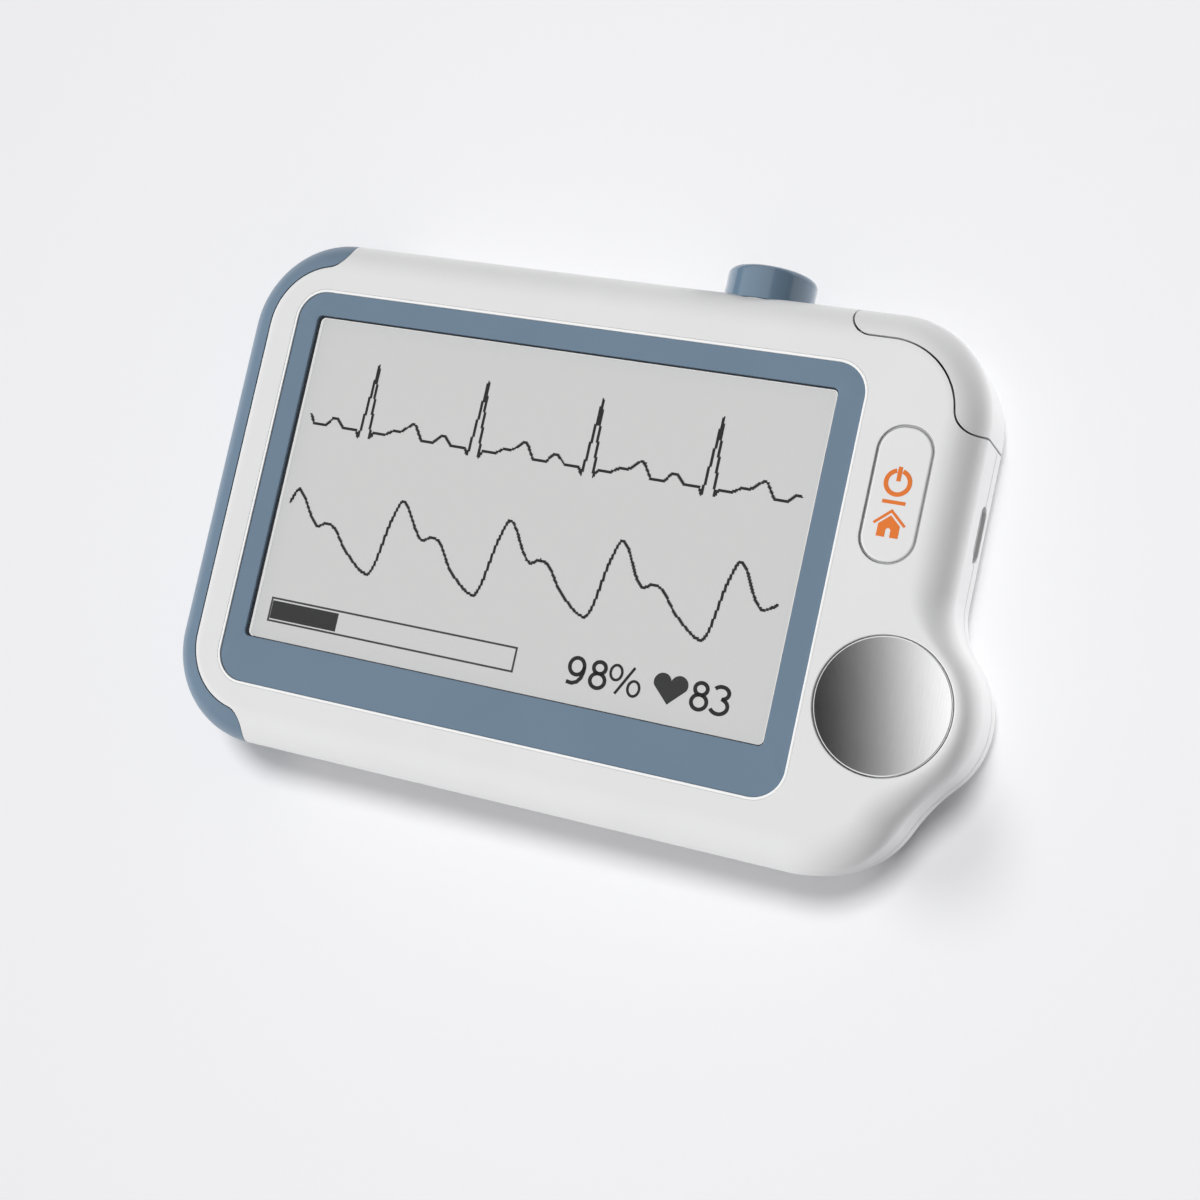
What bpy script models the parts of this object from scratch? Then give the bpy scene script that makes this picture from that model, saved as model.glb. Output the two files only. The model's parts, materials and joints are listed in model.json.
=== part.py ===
"""Handheld ECG home monitor, lying on its back with its screen up.

Metres. X runs along the case to the thumb lobe, Y to the top edge, Z out of the screen.
The origin is the middle of the flat back, under the centre of the case's overall length and width.
"""

import math

import bmesh
import bpy

MM = 0.001

# The screen's window and what surrounds it on the face, which give the case its length and width
SCREEN_LENGTH = 59.4 * MM
SCREEN_WIDTH = 35.88 * MM
SCREEN_CORNER = 0.6 * MM
BORDER_LEFT = 2.4 * MM  # the bezel's own widths
BORDER_RIGHT = 2.7 * MM
BORDER_TOP = 2.6 * MM
BORDER_BOTTOM = 4.97 * MM
FACE_LEFT = 6.55 * MM  # from the bezel to the case's sides
FACE_RIGHT = 12.15 * MM
FACE_TOP = 6.2 * MM
FACE_BOTTOM = 6.35 * MM

# Case outline and shells
CASE_DEPTH = 13.0 * MM
CORNER_RADIUS = 10.5 * MM
LOBE_REACH = 4.8 * MM  # the lobe past the straight right side
LOBE_RADIUS = 9.0 * MM
LOBE_RISE = 17.5 * MM  # from the bottom side to the lobe's centre
LOBE_UPPER_BLEND = 8.0 * MM
LOBE_LOWER_BLEND = 20.0 * MM
FACE_EDGE_WIDTH = 3.9 * MM  # the rounded edge round the face, seen from the front
FACE_EDGE_DEPTH = 3.6 * MM
LOBE_EDGE_WIDTH = 1.9 * MM  # the same edge round the lobe, where the thumb plate is close
BACK_EDGE = 2.6 * MM
WALL = 1.5 * MM
SPLIT_HEIGHT = 4.6 * MM  # where the front and the rear shell meet
LIP_HEIGHT = 0.9 * MM
LIP_SKIN = 0.5 * MM  # what the front shell keeps outside the rear shell's lip

# Clearances
CLEARANCE = 0.3 * MM  # between pieces that lie beside each other
BOND_GAP = 0.1 * MM  # between pieces that are glued, soldered or clamped together
SNAP_GAP = 0.2 * MM  # round pieces that snap into a pocket
PIN_CLEARANCE = 0.05 * MM  # round the hinge pin
JOIN_OVERLAP = 0.3 * MM  # how deep a rib or boss is sunk into the wall that it stands on
CUT_OVERRUN = 1.0 * MM  # how far a cutter runs past a face
ROOT_SHARE = 0.8  # how deep in the wall an inner wall starts
SAME_POINT = 0.005 * MM  # outline points closer than this are one

# Display stack, from the face down
BEZEL_CORNER = 3.2 * MM
BEZEL_THICKNESS = 0.6 * MM
BEZEL_SINK = 0.15 * MM
BEZEL_EDGE = 0.12 * MM
PANEL_BORDER = 1.0 * MM  # past the window
PANEL_THICKNESS = 0.5 * MM
LCD_BORDER = 0.9 * MM
LCD_THICKNESS = 1.4 * MM
GLASS_CORNER = 0.5 * MM
FOAM_THICKNESS = 0.4 * MM
FOAM_BORDER = 3.0 * MM
FRAME_FLOOR = 1.0 * MM
FRAME_RIM = 0.8 * MM
FRAME_CORNER = 1.2 * MM
FRAME_WINDOW_MARGIN = 6.0 * MM
EAR_REACH = 2.6 * MM
EAR_WIDTH = 3.0 * MM
EAR_THICKNESS = 1.0 * MM
EAR_DROP = 0.9 * MM  # from the ceiling to the top of an ear
EAR_SHARES = ((-0.22, 1), (0.06, 1), (-0.22, -1), (0.24, -1))  # along the screen, and which edge
FLEX_WIDTH = 12.0 * MM
FLEX_THICKNESS = 0.15 * MM
FLEX_LOOP = 1.6 * MM  # how far the ribbon bows out of the frame
FLEX_BEND = 0.4 * MM

# Main board
BOARD_THICKNESS = 0.8 * MM
BOARD_CORNER = 4.8 * MM
BOARD_LEFT_GAP = 0.65 * MM  # from the wall behind the side trim
BOARD_MAIN_END = 12.7 * MM  # from the straight right side back to the board's main part
BOARD_WING_END = 2.6 * MM  # from the straight right side back to the board's wing
BOARD_WING_DROP = 9.0 * MM  # its end below the lobe's centre
BOARD_WING_RISE = 5.3 * MM  # its end above the button's middle
COMPONENT_ROOM = 1.5 * MM  # between the board and the display frame
POST_RADIUS = 1.5 * MM
POST_INSET = 2.8 * MM

# Chips: name, centre as shares of the board's length and width, size
CHIP_HEIGHT = 1.0 * MM
PROCESSOR_SIZE = 9.0 * MM
MEMORY_SIZE = 6.0 * MM
AMPLIFIER_SIZE = 7.0 * MM
SHIELD_LENGTH = 13.0 * MM
SHIELD_WIDTH = 10.0 * MM
CHIP_EDGE = 0.15 * MM
PROCESSOR_SHARES = (-0.12, 0.14)
MEMORY_SHARES = (-0.30, 0.16)
AMPLIFIER_SHARES = (0.30, -0.02)
SHIELD_SHARES = (-0.33, -0.20)
SOCKET_LENGTH = 13.0 * MM
SOCKET_WIDTH = 3.0 * MM
SOCKET_SETBACK = 0.6 * MM  # from the frame's outer edge

# Battery and its plug
BATTERY_CORNER = 1.5 * MM
BATTERY_LEFT_GAP = 5.15 * MM  # from the wall behind the side trim
BATTERY_RIGHT_GAP = 2.55 * MM  # to the speaker
BATTERY_SIDE_GAP = 0.9 * MM  # to the board's posts
PLUG_LENGTH = 3.0 * MM
PLUG_WIDTH = 6.0 * MM
PLUG_HEIGHT = 2.2 * MM
PLUG_RISE = 17.0 * MM  # from the speaker's middle

# Speaker
SPEAKER_RADIUS = 5.0 * MM
SPEAKER_GAP = 0.6 * MM  # to the board over it
SPEAKER_STEP = 0.8 * MM
SPEAKER_INSET = 16.7 * MM  # from the straight right side
SPEAKER_DROP = 0.5 * MM  # below the lobe's centre
GRILLE_SLOT_WIDTH = 0.8 * MM
GRILLE_PITCH = 1.7 * MM
GRILLE_SLOTS = 5
GRILLE_SHARE = 0.75  # of the speaker's radius

# Electrodes
THUMB_PLATE_RADIUS = 6.75 * MM
BACK_PLATE_RADIUS = 6.0 * MM
PLATE_THICKNESS = 0.7 * MM
PLATE_EDGE = 0.15 * MM
BACK_PLATE_SINK = 0.1 * MM
STEM_RADIUS = 1.5 * MM
STEM_REACH = 1.2 * MM  # past the inner face of the shell
SIDE_PLATE_LENGTH = 20.0 * MM
SIDE_PLATE_HEIGHT = 5.2 * MM
SIDE_PLATE_SINK = 0.05 * MM
SIDE_PLATE_DROP = 1.05 * MM  # its middle below the board's top
SIDE_STEM_RADIUS = 0.6 * MM
CONTACT_WIDTH = 2.0 * MM
CONTACT_THICKNESS = 0.2 * MM
CONTACT_FOOT = 2.4 * MM
CONTACT_REACH = 3.2 * MM

# Home button and its switch
BUTTON_INSET = 7.05 * MM  # from the straight right side
BUTTON_RISE = 20.23 * MM  # above the lobe's centre
BUTTON_WIDTH = 5.3 * MM
BUTTON_LENGTH = 13.3 * MM
BUTTON_CORNER = 2.5 * MM
BUTTON_EDGE = 0.2 * MM
BUTTON_FLANGE = 0.6 * MM  # its width and its thickness
BUTTON_POST_RADIUS = 1.2 * MM
SWITCH_SIZE = 4.6 * MM
SWITCH_HEIGHT = 1.6 * MM
PLUNGER_RADIUS = 1.0 * MM
PLUNGER_RISE = 0.9 * MM
PLUNGER_SINK = 0.4 * MM
SWITCH_WELL = 0.9 * MM

# Charging socket
SOCKET_DROP = 1.48 * MM  # below the button's middle
PORT_WIDTH = 5.6 * MM
PORT_HEIGHT = 2.6 * MM
PORT_DEPTH = 6.5 * MM
PORT_CORNER = 1.1 * MM
PORT_METAL = 0.3 * MM
PORT_SINK = 0.4 * MM
TONGUE_WIDTH = 3.4 * MM
TONGUE_THICKNESS = 0.7 * MM
TONGUE_LENGTH = 4.2 * MM

# Infrared thermometer on the top edge
PROBE_INSET = 26.0 * MM  # from the straight right side
CAP_RADIUS = 4.7 * MM
CAP_RISE = 3.2 * MM  # its top over the case's edge
CAP_FOOT_GAP = 0.25 * MM
CAP_TOP_WALL = 1.0 * MM
CAP_EDGE = 0.7 * MM
NOZZLE_RADIUS = 3.2 * MM
NOZZLE_BORE = 2.45 * MM
NOZZLE_RISE = 1.9 * MM
NOZZLE_FLANGE_RADIUS = 3.9 * MM
NOZZLE_FLANGE = 0.6 * MM
NOZZLE_TAIL = 0.5 * MM
PROBE_SETBACK = 0.5 * MM  # from the wall back to the nozzle's flange
NOZZLE_CHAMFER = 0.3 * MM
SEAL_RADIUS = 0.22 * MM
SEAL_RISE = 0.8 * MM  # over the case's edge
GROOVE_DEPTH = 0.4 * MM
GROOVE_WIDTH = 0.6 * MM
CAN_RADIUS = 2.0 * MM
CAN_LENGTH = 3.5 * MM
CAN_FLANGE = 0.25 * MM
LENS_RADIUS = 0.9 * MM
LENS_THICKNESS = 0.3 * MM
PROBE_BOARD_SIZE = 6.4 * MM

# Side trim on the left
TRIM_BAND = 3.2 * MM
TRIM_END_RADIUS = 2.3 * MM
TRIM_END_TURN = 12.0  # degrees short of the corner's end
TRIM_SEAM = 0.2 * MM

# Finger clip cover in the top right corner
COVER_BAND = 3.15 * MM
COVER_END_RADIUS = 2.3 * MM
COVER_END_TURN = 9.0
COVER_TAIL = 2.4 * MM  # the straight run from the corner to the hinge
COVER_SEAM = 0.3 * MM
PIN_RADIUS = 0.4 * MM
LUG_RADIUS = 0.75 * MM
LUG_RISE = 0.25 * MM  # over the rear shell
LUG_HEIGHT = 1.5 * MM
LUG_TURN = 240.0  # the way from the pin to the wall
COVER_SWING = 40.0  # how far the cover opens
COIL_RADIUS = 1.0 * MM
COIL_WIRE_RADIUS = 0.12 * MM
COIL_TURNS = 2.5
COIL_PITCH = 0.66 * MM
COIL_LEG = 0.7 * MM
KNUCKLE_DEPTH = 0.9 * MM  # how far the pin runs into each end
BED_LOW_SHARE = 0.27  # finger bed, shares of the case's depth
BED_HIGH_SHARE = 0.73
CLIP_TURN = 45.0  # degrees round the corner to the clip's middle
BED_TURN = 26.0  # degrees to each side of it
WINDOW_WIDTH = 3.4 * MM
WINDOW_HEIGHT = 3.0 * MM
WINDOW_THICKNESS = 0.8 * MM
DIODE_SIZE = 2.0 * MM
DIODE_THICKNESS = 0.4 * MM

# Screws
SCREW_EDGE_INSET = 4.0 * MM
SCREW_SHARES = ((-0.307, 1), (0.057, 1), (-0.307, -1), (0.205, -1))  # along the case, which edge
LOBE_SCREW_BACK = 1.5 * MM
LOBE_SCREW_UP = 9.5 * MM
BOSS_RADIUS = 1.5 * MM
CASE_SCREW_RADIUS = 0.75 * MM
CASE_SCREW_HEAD = 1.3 * MM
CASE_SCREW_HEAD_HEIGHT = 0.8 * MM
CASE_SCREW_BITE = 4.0 * MM  # its length in the front shell's boss
SEAT_SKIN = 0.3 * MM  # what the back keeps above a screw's head
SMALL_SCREW_RADIUS = 0.5 * MM
SMALL_SCREW_HEAD = 1.1 * MM
SMALL_SCREW_HEAD_HEIGHT = 0.6 * MM
BOARD_SCREW_BITE = 2.2 * MM
FRAME_SCREW_BITE = 0.7 * MM
PILOT_GAP = 0.12 * MM
RECESS_SHARE = 0.5  # of the head's radius

# How finely round shapes are cut
CORNER_STEPS = 8
LOBE_STEPS = 10
BLEND_STEPS = 5
FACE_EDGE_STEPS = 5
BACK_EDGE_STEPS = 3
ROUND_STEPS = 32
SMALL_ROUND_STEPS = 12
SMALL_CORNER_STEPS = 4

# Levels and places that follow from the sizes above
FACE = CASE_DEPTH
CEILING = FACE - WALL
BEZEL_TOP = FACE - BEZEL_SINK
BEZEL_BOTTOM = BEZEL_TOP - BEZEL_THICKNESS
POCKET_FLOOR = BEZEL_BOTTOM - BOND_GAP
PANEL_TOP = POCKET_FLOOR
PANEL_BOTTOM = PANEL_TOP - PANEL_THICKNESS
LCD_TOP = PANEL_BOTTOM - BOND_GAP
LCD_BOTTOM = LCD_TOP - LCD_THICKNESS
FOAM_TOP = LCD_BOTTOM - BOND_GAP
FOAM_BOTTOM = FOAM_TOP - FOAM_THICKNESS
FRAME_TOP = FOAM_BOTTOM - BOND_GAP
FRAME_BOTTOM = FRAME_TOP - FRAME_FLOOR
BOARD_TOP = FRAME_BOTTOM - COMPONENT_ROOM
BOARD_BOTTOM = BOARD_TOP - BOARD_THICKNESS
BEZEL_LENGTH = BORDER_LEFT + SCREEN_LENGTH + BORDER_RIGHT
BEZEL_WIDTH = BORDER_BOTTOM + SCREEN_WIDTH + BORDER_TOP
CASE_LENGTH = FACE_LEFT + BEZEL_LENGTH + FACE_RIGHT + LOBE_REACH
CASE_WIDTH = FACE_BOTTOM + BEZEL_WIDTH + FACE_TOP
LEFT_SIDE = -CASE_LENGTH / 2
RIGHT_SIDE = CASE_LENGTH / 2 - LOBE_REACH
TOP_SIDE = CASE_WIDTH / 2
SCREEN_X = LEFT_SIDE + FACE_LEFT + BORDER_LEFT + SCREEN_LENGTH / 2
SCREEN_Y = TOP_SIDE - FACE_TOP - BORDER_TOP - SCREEN_WIDTH / 2
SCREEN = (SCREEN_X, SCREEN_Y)
BEZEL_PLACE = (LEFT_SIDE + FACE_LEFT + BEZEL_LENGTH / 2, TOP_SIDE - FACE_TOP - BEZEL_WIDTH / 2)
LOBE = (CASE_LENGTH / 2 - LOBE_RADIUS, LOBE_RISE - TOP_SIDE)
LOBE_SCREW = (LOBE[0] - LOBE_SCREW_BACK, LOBE[1] + LOBE_SCREW_UP)
BUTTON = (RIGHT_SIDE - BUTTON_INSET, LOBE[1] + BUTTON_RISE)

PANEL_LENGTH = SCREEN_LENGTH + 2 * PANEL_BORDER
PANEL_WIDTH = SCREEN_WIDTH + 2 * PANEL_BORDER
LCD_LENGTH = SCREEN_LENGTH + 2 * LCD_BORDER
LCD_WIDTH = SCREEN_WIDTH + 2 * LCD_BORDER
FRAME_LENGTH = LCD_LENGTH + 2 * CLEARANCE + 2 * FRAME_RIM
FRAME_WIDTH = LCD_WIDTH + 2 * CLEARANCE + 2 * FRAME_RIM
EAR_TOP = CEILING - EAR_DROP
FRAME_SCREW_TIP = EAR_TOP + CLEARANCE + FRAME_SCREW_BITE

TRIM_WALL = LEFT_SIDE + TRIM_BAND + TRIM_SEAM / 2 + WALL
BOARD_LEFT = TRIM_WALL + BOARD_LEFT_GAP
BOARD_MAIN_RIGHT = RIGHT_SIDE - BOARD_MAIN_END
BOARD_RIGHT = RIGHT_SIDE - BOARD_WING_END
BOARD_WIDTH = CASE_WIDTH - 2 * (SCREW_EDGE_INSET + BOSS_RADIUS + CLEARANCE)
RIBBON_SOCKET_FRONT = SCREEN_Y - FRAME_WIDTH / 2 + SOCKET_SETBACK
SPEAKER = (RIGHT_SIDE - SPEAKER_INSET, LOBE[1] - SPEAKER_DROP)
BATTERY_LEFT = TRIM_WALL + BATTERY_LEFT_GAP
BATTERY_RIGHT = SPEAKER[0] - SPEAKER_RADIUS - BATTERY_RIGHT_GAP
BATTERY_WIDTH = BOARD_WIDTH - 2 * (POST_INSET + POST_RADIUS + BATTERY_SIDE_GAP)
PLUNGER_TOP = BOARD_TOP + BOND_GAP + SWITCH_HEIGHT + PLUNGER_RISE
SIDE_PLATE_Z = BOARD_TOP - SIDE_PLATE_DROP
SIDE_STEM_Z = SIDE_PLATE_Z + SIDE_PLATE_HEIGHT / 2 - SIDE_STEM_RADIUS - PLATE_EDGE

PORT_Y = BUTTON[1] - SOCKET_DROP
PORT_Z = BOARD_BOTTOM - BOND_GAP - PORT_HEIGHT / 2
PROBE_X = RIGHT_SIDE - PROBE_INSET
PROBE_Z = CASE_DEPTH / 2
NOZZLE_TAIL_Y = TOP_SIDE - WALL - PROBE_SETBACK - NOZZLE_FLANGE - NOZZLE_TAIL
SCREW_SEAT = WALL - SEAT_SKIN

COVER_CORNER = (RIGHT_SIDE - CORNER_RADIUS, TOP_SIDE - CORNER_RADIUS)
HINGE = (COVER_CORNER[0] - COVER_TAIL, TOP_SIDE - COVER_BAND + COVER_END_RADIUS)
BED_WALL = CORNER_RADIUS - COVER_BAND - COVER_SEAM / 2  # radius of the wall behind the cover
EMITTER_BACK = BED_WALL + COVER_SEAM + BOND_GAP + WINDOW_THICKNESS
LUG_LOW = SPLIT_HEIGHT + CLEARANCE / 2 + LUG_RISE
COIL_ROOM = 2 * CLEARANCE + COIL_TURNS * COIL_PITCH + 2 * COIL_WIRE_RADIUS

# Colours, linear
WHITE_PLASTIC = (0.78, 0.78, 0.79)
BLUE_PLASTIC = (0.171, 0.235, 0.313)
DARK_RUBBER = (0.03, 0.03, 0.035)
GREY_GLASS = (0.62, 0.62, 0.62)
CLEAR_GLASS = (0.9, 0.9, 0.9)
STEEL = (0.6, 0.6, 0.6)
GOLD_CONTACT = (0.75, 0.55, 0.25)
GREEN_BOARD = (0.02, 0.14, 0.06)
CHIP_BLACK = (0.015, 0.015, 0.017)
GREY_PLASTIC = (0.2, 0.2, 0.21)
AMBER_FILM = (0.45, 0.2, 0.04)
SILVER_FOIL = (0.55, 0.56, 0.58)
RED_WINDOW = (0.12, 0.01, 0.012)


# Points and rings


def polar(centre, radius, turn):
    """The point at a distance and a direction, in degrees, from a centre."""
    angle = math.radians(turn)
    return (centre[0] + radius * math.cos(angle), centre[1] + radius * math.sin(angle))


def arc(centre, radius, start, end, steps):
    """Points of an arc from one angle to another, in degrees, with both ends."""
    return [polar(centre, radius, start + (end - start) * i / steps) for i in range(steps + 1)]


def distinct(points):
    """The points of a closed outline without those that repeat the one before."""
    return [
        point for i, point in enumerate(points) if math.dist(point, points[i - 1]) > SAME_POINT
    ]


def bearing(start, end):
    """Direction from one point to another in degrees, from 0 to 360."""
    return math.degrees(math.atan2(end[1] - start[1], end[0] - start[0])) % 360


def meeting_point(first, first_radius, second, second_radius):
    """Where two circles meet, on the right hand of the way from the first to the second."""
    span = math.dist(first, second)
    along = (first_radius**2 - second_radius**2 + span**2) / (2 * span)
    across = math.sqrt(first_radius**2 - along**2)
    way = ((second[0] - first[0]) / span, (second[1] - first[1]) / span)
    return (
        first[0] + along * way[0] + across * way[1],
        first[1] + along * way[1] - across * way[0],
    )


def at_height(points, z):
    return [(x, y, z) for x, y in points]


def rectangle(centre, length, width, radius, steps=SMALL_CORNER_STEPS):
    """Rounded rectangle, counterclockwise."""
    points = []
    for quarter, (side_x, side_y) in enumerate(((1, 1), (-1, 1), (-1, -1), (1, -1))):
        corner = (
            centre[0] + side_x * (length / 2 - radius),
            centre[1] + side_y * (width / 2 - radius),
        )
        points += arc(corner, radius, 90 * quarter, 90 * (quarter + 1), steps)
    return points


def rectangle_ring(centre, length, width, radius, z, inset=0.0):
    """Rounded rectangle at a height, drawn in by inset all round."""
    points = rectangle(centre, length - 2 * inset, width - 2 * inset, radius - inset)
    return at_height(points, z)


def circle(centre, radius, steps=ROUND_STEPS):
    return arc(centre, radius, 0, 360 - 360 / steps, steps - 1)


def case_arcs():
    """The arcs of the case's outline, counterclockwise from the top right corner.

    Each is centre, radius, start, end, bulge, steps, and the lobe's share at its start and end.
    The bulge is 1 where the outline turns outwards and -1 in the hollows beside the lobe.
    """
    low_corner = (RIGHT_SIDE - CORNER_RADIUS, CORNER_RADIUS - TOP_SIDE)
    left_x = LEFT_SIDE + CORNER_RADIUS
    lower = meeting_point(
        low_corner, CORNER_RADIUS + LOBE_LOWER_BLEND, LOBE, LOBE_RADIUS + LOBE_LOWER_BLEND
    )
    upper_x = RIGHT_SIDE + LOBE_UPPER_BLEND
    rise = math.sqrt((LOBE_RADIUS + LOBE_UPPER_BLEND) ** 2 - (upper_x - LOBE[0]) ** 2)
    upper = (upper_x, LOBE[1] + rise)
    low_end = bearing(low_corner, lower)
    lobe_start = bearing(LOBE, lower) - 360
    lobe_end = bearing(LOBE, upper)
    return (
        (COVER_CORNER, CORNER_RADIUS, 0, 90, 1, CORNER_STEPS, 0, 0),
        ((left_x, COVER_CORNER[1]), CORNER_RADIUS, 90, 180, 1, CORNER_STEPS, 0, 0),
        ((left_x, low_corner[1]), CORNER_RADIUS, 180, 270, 1, CORNER_STEPS, 0, 0),
        (low_corner, CORNER_RADIUS, 270, low_end, 1, CORNER_STEPS, 0, 0),
        (lower, LOBE_LOWER_BLEND, low_end - 180, bearing(lower, LOBE), -1, BLEND_STEPS, 0, 1),
        (LOBE, LOBE_RADIUS, lobe_start, lobe_end, 1, LOBE_STEPS, 1, 1),
        (upper, LOBE_UPPER_BLEND, lobe_end + 180, 180, -1, BLEND_STEPS, 1, 0),
    )


def case_ring(z, inset, lobe_inset=None):
    """The case's outline at a height, drawn in by inset, and by lobe_inset round the lobe."""
    if lobe_inset is None:
        lobe_inset = inset
    ring = []
    last_bulge = 1
    for centre, radius, start, end, bulge, steps, share_start, share_end in case_arcs():
        joined = bulge < 0 or last_bulge < 0
        for i in range(int(joined), steps + 1):
            part = i / steps
            share = share_start + (share_end - share_start) * part
            drawn = inset + (lobe_inset - inset) * share
            x, y = polar(centre, radius - bulge * drawn, start + (end - start) * part)
            ring.append((x, y, z))
        last_bulge = bulge
    return ring


def face_edge_rings(wall):
    """Rings up the rounded edge of the face, wall inside it, from the side to the flat."""
    rings = []
    for i in range(FACE_EDGE_STEPS + 1):
        turn = math.radians(90 * i / FACE_EDGE_STEPS)
        z = FACE - FACE_EDGE_DEPTH + (FACE_EDGE_DEPTH - wall) * math.sin(turn)
        inset = FACE_EDGE_WIDTH - (FACE_EDGE_WIDTH - wall) * math.cos(turn)
        lobe_inset = LOBE_EDGE_WIDTH - (LOBE_EDGE_WIDTH - wall) * math.cos(turn)
        rings.append(case_ring(z, inset, lobe_inset))
    return rings


def back_edge_rings(wall):
    """Rings up the rounded edge of the back, wall inside it, from the flat to the side."""
    rings = []
    for i in range(BACK_EDGE_STEPS + 1):
        turn = math.radians(90 * i / BACK_EDGE_STEPS)
        z = BACK_EDGE - (BACK_EDGE - wall) * math.cos(turn)
        rings.append(case_ring(z, BACK_EDGE - (BACK_EDGE - wall) * math.sin(turn)))
    return rings


def band_outline(corners, band, end_radius, turn, tail, outer):
    """Plan of a band along the case's edge that ends in round lobes.

    corners holds each corner's centre and start, in degrees, counterclockwise round the case.
    The band runs from outer to band, both measured inwards from the case's outline. It begins
    turn degrees past the first corner's start, and ends as far before the last corner's end, or
    tail past it.
    """
    depth = band - end_radius
    reach = CORNER_RADIUS - depth
    rim = CORNER_RADIUS - outer
    opening = math.acos((rim**2 - reach**2 - end_radius**2) / (2 * reach * end_radius))
    swing = math.degrees(math.asin(end_radius * math.sin(opening) / rim))
    opening = math.degrees(opening)
    begin = corners[0][1] + turn
    finish_turn = corners[-1][1] + 90 - (0 if tail else turn)
    last_lobe = polar(polar(corners[-1][0], reach, finish_turn), tail, finish_turn + 90)
    last_opening = math.degrees(math.acos((depth - outer) / end_radius)) if tail else opening
    first_lobe = polar(corners[0][0], reach, begin)
    points = arc(first_lobe, end_radius, begin - opening, begin - 180, LOBE_STEPS)
    lows = [begin] + [start for _, start in corners[1:]]
    highs = [start + 90 for _, start in corners[:-1]] + [finish_turn]
    for (centre, _), low, high in zip(corners, lows, highs):
        points += arc(centre, CORNER_RADIUS - band, low, high, CORNER_STEPS)
    points += arc(
        last_lobe, end_radius, finish_turn + 180, finish_turn + last_opening, LOBE_STEPS
    )
    lows[0] -= swing
    highs[-1] += 0 if tail else swing
    for (centre, _), low, high in reversed(list(zip(corners, lows, highs))):
        points += arc(centre, rim, high, low, CORNER_STEPS)
    return distinct(points)


# Solids from rings, outlines and profiles


def add_mesh(name, build):
    """New object whose mesh the build function fills, with its faces turned out."""
    mesh = bpy.data.meshes.new(name)
    shape = bmesh.new()
    build(shape)
    bmesh.ops.recalc_face_normals(shape, faces=shape.faces)
    shape.to_mesh(mesh)
    shape.free()
    mesh.shade_smooth()
    mesh.set_sharp_from_angle(angle=math.radians(30))
    piece = bpy.data.objects.new(name, mesh)
    bpy.context.scene.collection.objects.link(piece)
    return piece


def lofted(name, rings, closed=False):
    """Solid through rings of equal counts, capped at both ends, or closed into itself."""

    def build(shape):
        rows = [[shape.verts.new(point) for point in ring] for ring in rings]
        pairs = list(zip(rows, rows[1:]))
        if closed:
            pairs.append((rows[-1], rows[0]))
        for low, high in pairs:
            for i, corner in enumerate(low):
                after = (i + 1) % len(low)
                shape.faces.new((corner, low[after], high[after], high[i]))
        if not closed:
            shape.faces.new(rows[0])
            shape.faces.new(rows[-1])

    return add_mesh(name, build)


def turned_to(points, plane):
    """Points of a plane's two axes and the axis across it, as X, Y and Z."""
    order = {"xy": (0, 1, 2), "xz": (0, 2, 1), "yz": (2, 0, 1)}[plane]
    return [tuple(point[i] for i in order) for point in points]


def prism(name, outline, low, high, plane="xy"):
    """Outline in a plane, extruded from low to high across it."""
    rings = [turned_to(at_height(outline, level), plane) for level in (low, high)]
    return lofted(name, rings)


def turned(name, profile, centre, plane="xy", steps=ROUND_STEPS, bored=False):
    """Profile of radius and height turned about the axis across a plane."""
    rings = [
        turned_to(at_height(circle(centre, radius, steps), height), plane)
        for radius, height in profile
    ]
    return lofted(name, rings, closed=bored)


def swept(name, path, radius):
    """Wire along a path that runs nearly level."""
    rings = []
    for i, place in enumerate(path):
        before = path[max(i - 1, 0)]
        after = path[min(i + 1, len(path) - 1)]
        turn = bearing(before, after) + 90
        ring = []
        for across, up in circle((0.0, 0.0), radius, 2 * SMALL_CORNER_STEPS):
            x, y = polar(place, across, turn)
            ring.append((x, y, place[2] + up))
        rings.append(ring)
    return lofted(name, rings)


def box(name, centre, size, low, high, edge):
    """Block with rounded upright corners and a small bevel round its top."""
    length, width = size
    rings = [
        rectangle_ring(centre, length, width, 2 * edge, low),
        rectangle_ring(centre, length, width, 2 * edge, high - edge),
        rectangle_ring(centre, length, width, 2 * edge, high, edge),
    ]
    return lofted(name, rings)


# Booleans, parenting and finish


def combine(piece, tool, operation):
    modifier = piece.modifiers.new(tool.name, "BOOLEAN")
    modifier.operation = operation
    modifier.solver = "EXACT"
    modifier.object = tool
    tool.hide_render = True
    tool.display_type = "WIRE"


def cut(piece, *tools):
    for tool in tools:
        combine(piece, tool, "DIFFERENCE")


def join(piece, *tools):
    for tool in tools:
        combine(piece, tool, "UNION")


def keep(piece, tool):
    combine(piece, tool, "INTERSECT")


def finish(piece, colour, roughness, metallic=0.0, alpha=1.0):
    """Gives the piece a material of its own."""
    material = bpy.data.materials.new(piece.name)
    material.use_nodes = True
    shader = material.node_tree.nodes["Principled BSDF"]
    shader.inputs["Base Color"].default_value = (*colour, 1.0)
    shader.inputs["Roughness"].default_value = roughness
    shader.inputs["Metallic"].default_value = metallic
    shader.inputs["Alpha"].default_value = alpha
    material.diffuse_color = (*colour, alpha)
    piece.data.materials.clear()
    piece.data.materials.append(material)
    return piece


def carry(joint_name, place, pieces):
    """Hangs the pieces of a moving body on an empty that stands on the joint's axis."""
    axis = bpy.data.objects.new(joint_name, None)
    axis.location = place
    axis.empty_display_size = CASE_DEPTH / 2
    bpy.context.scene.collection.objects.link(axis)
    bpy.context.view_layer.update()
    for piece in pieces:
        piece.parent = axis
        piece.matrix_parent_inverse = axis.matrix_world.inverted()


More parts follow.
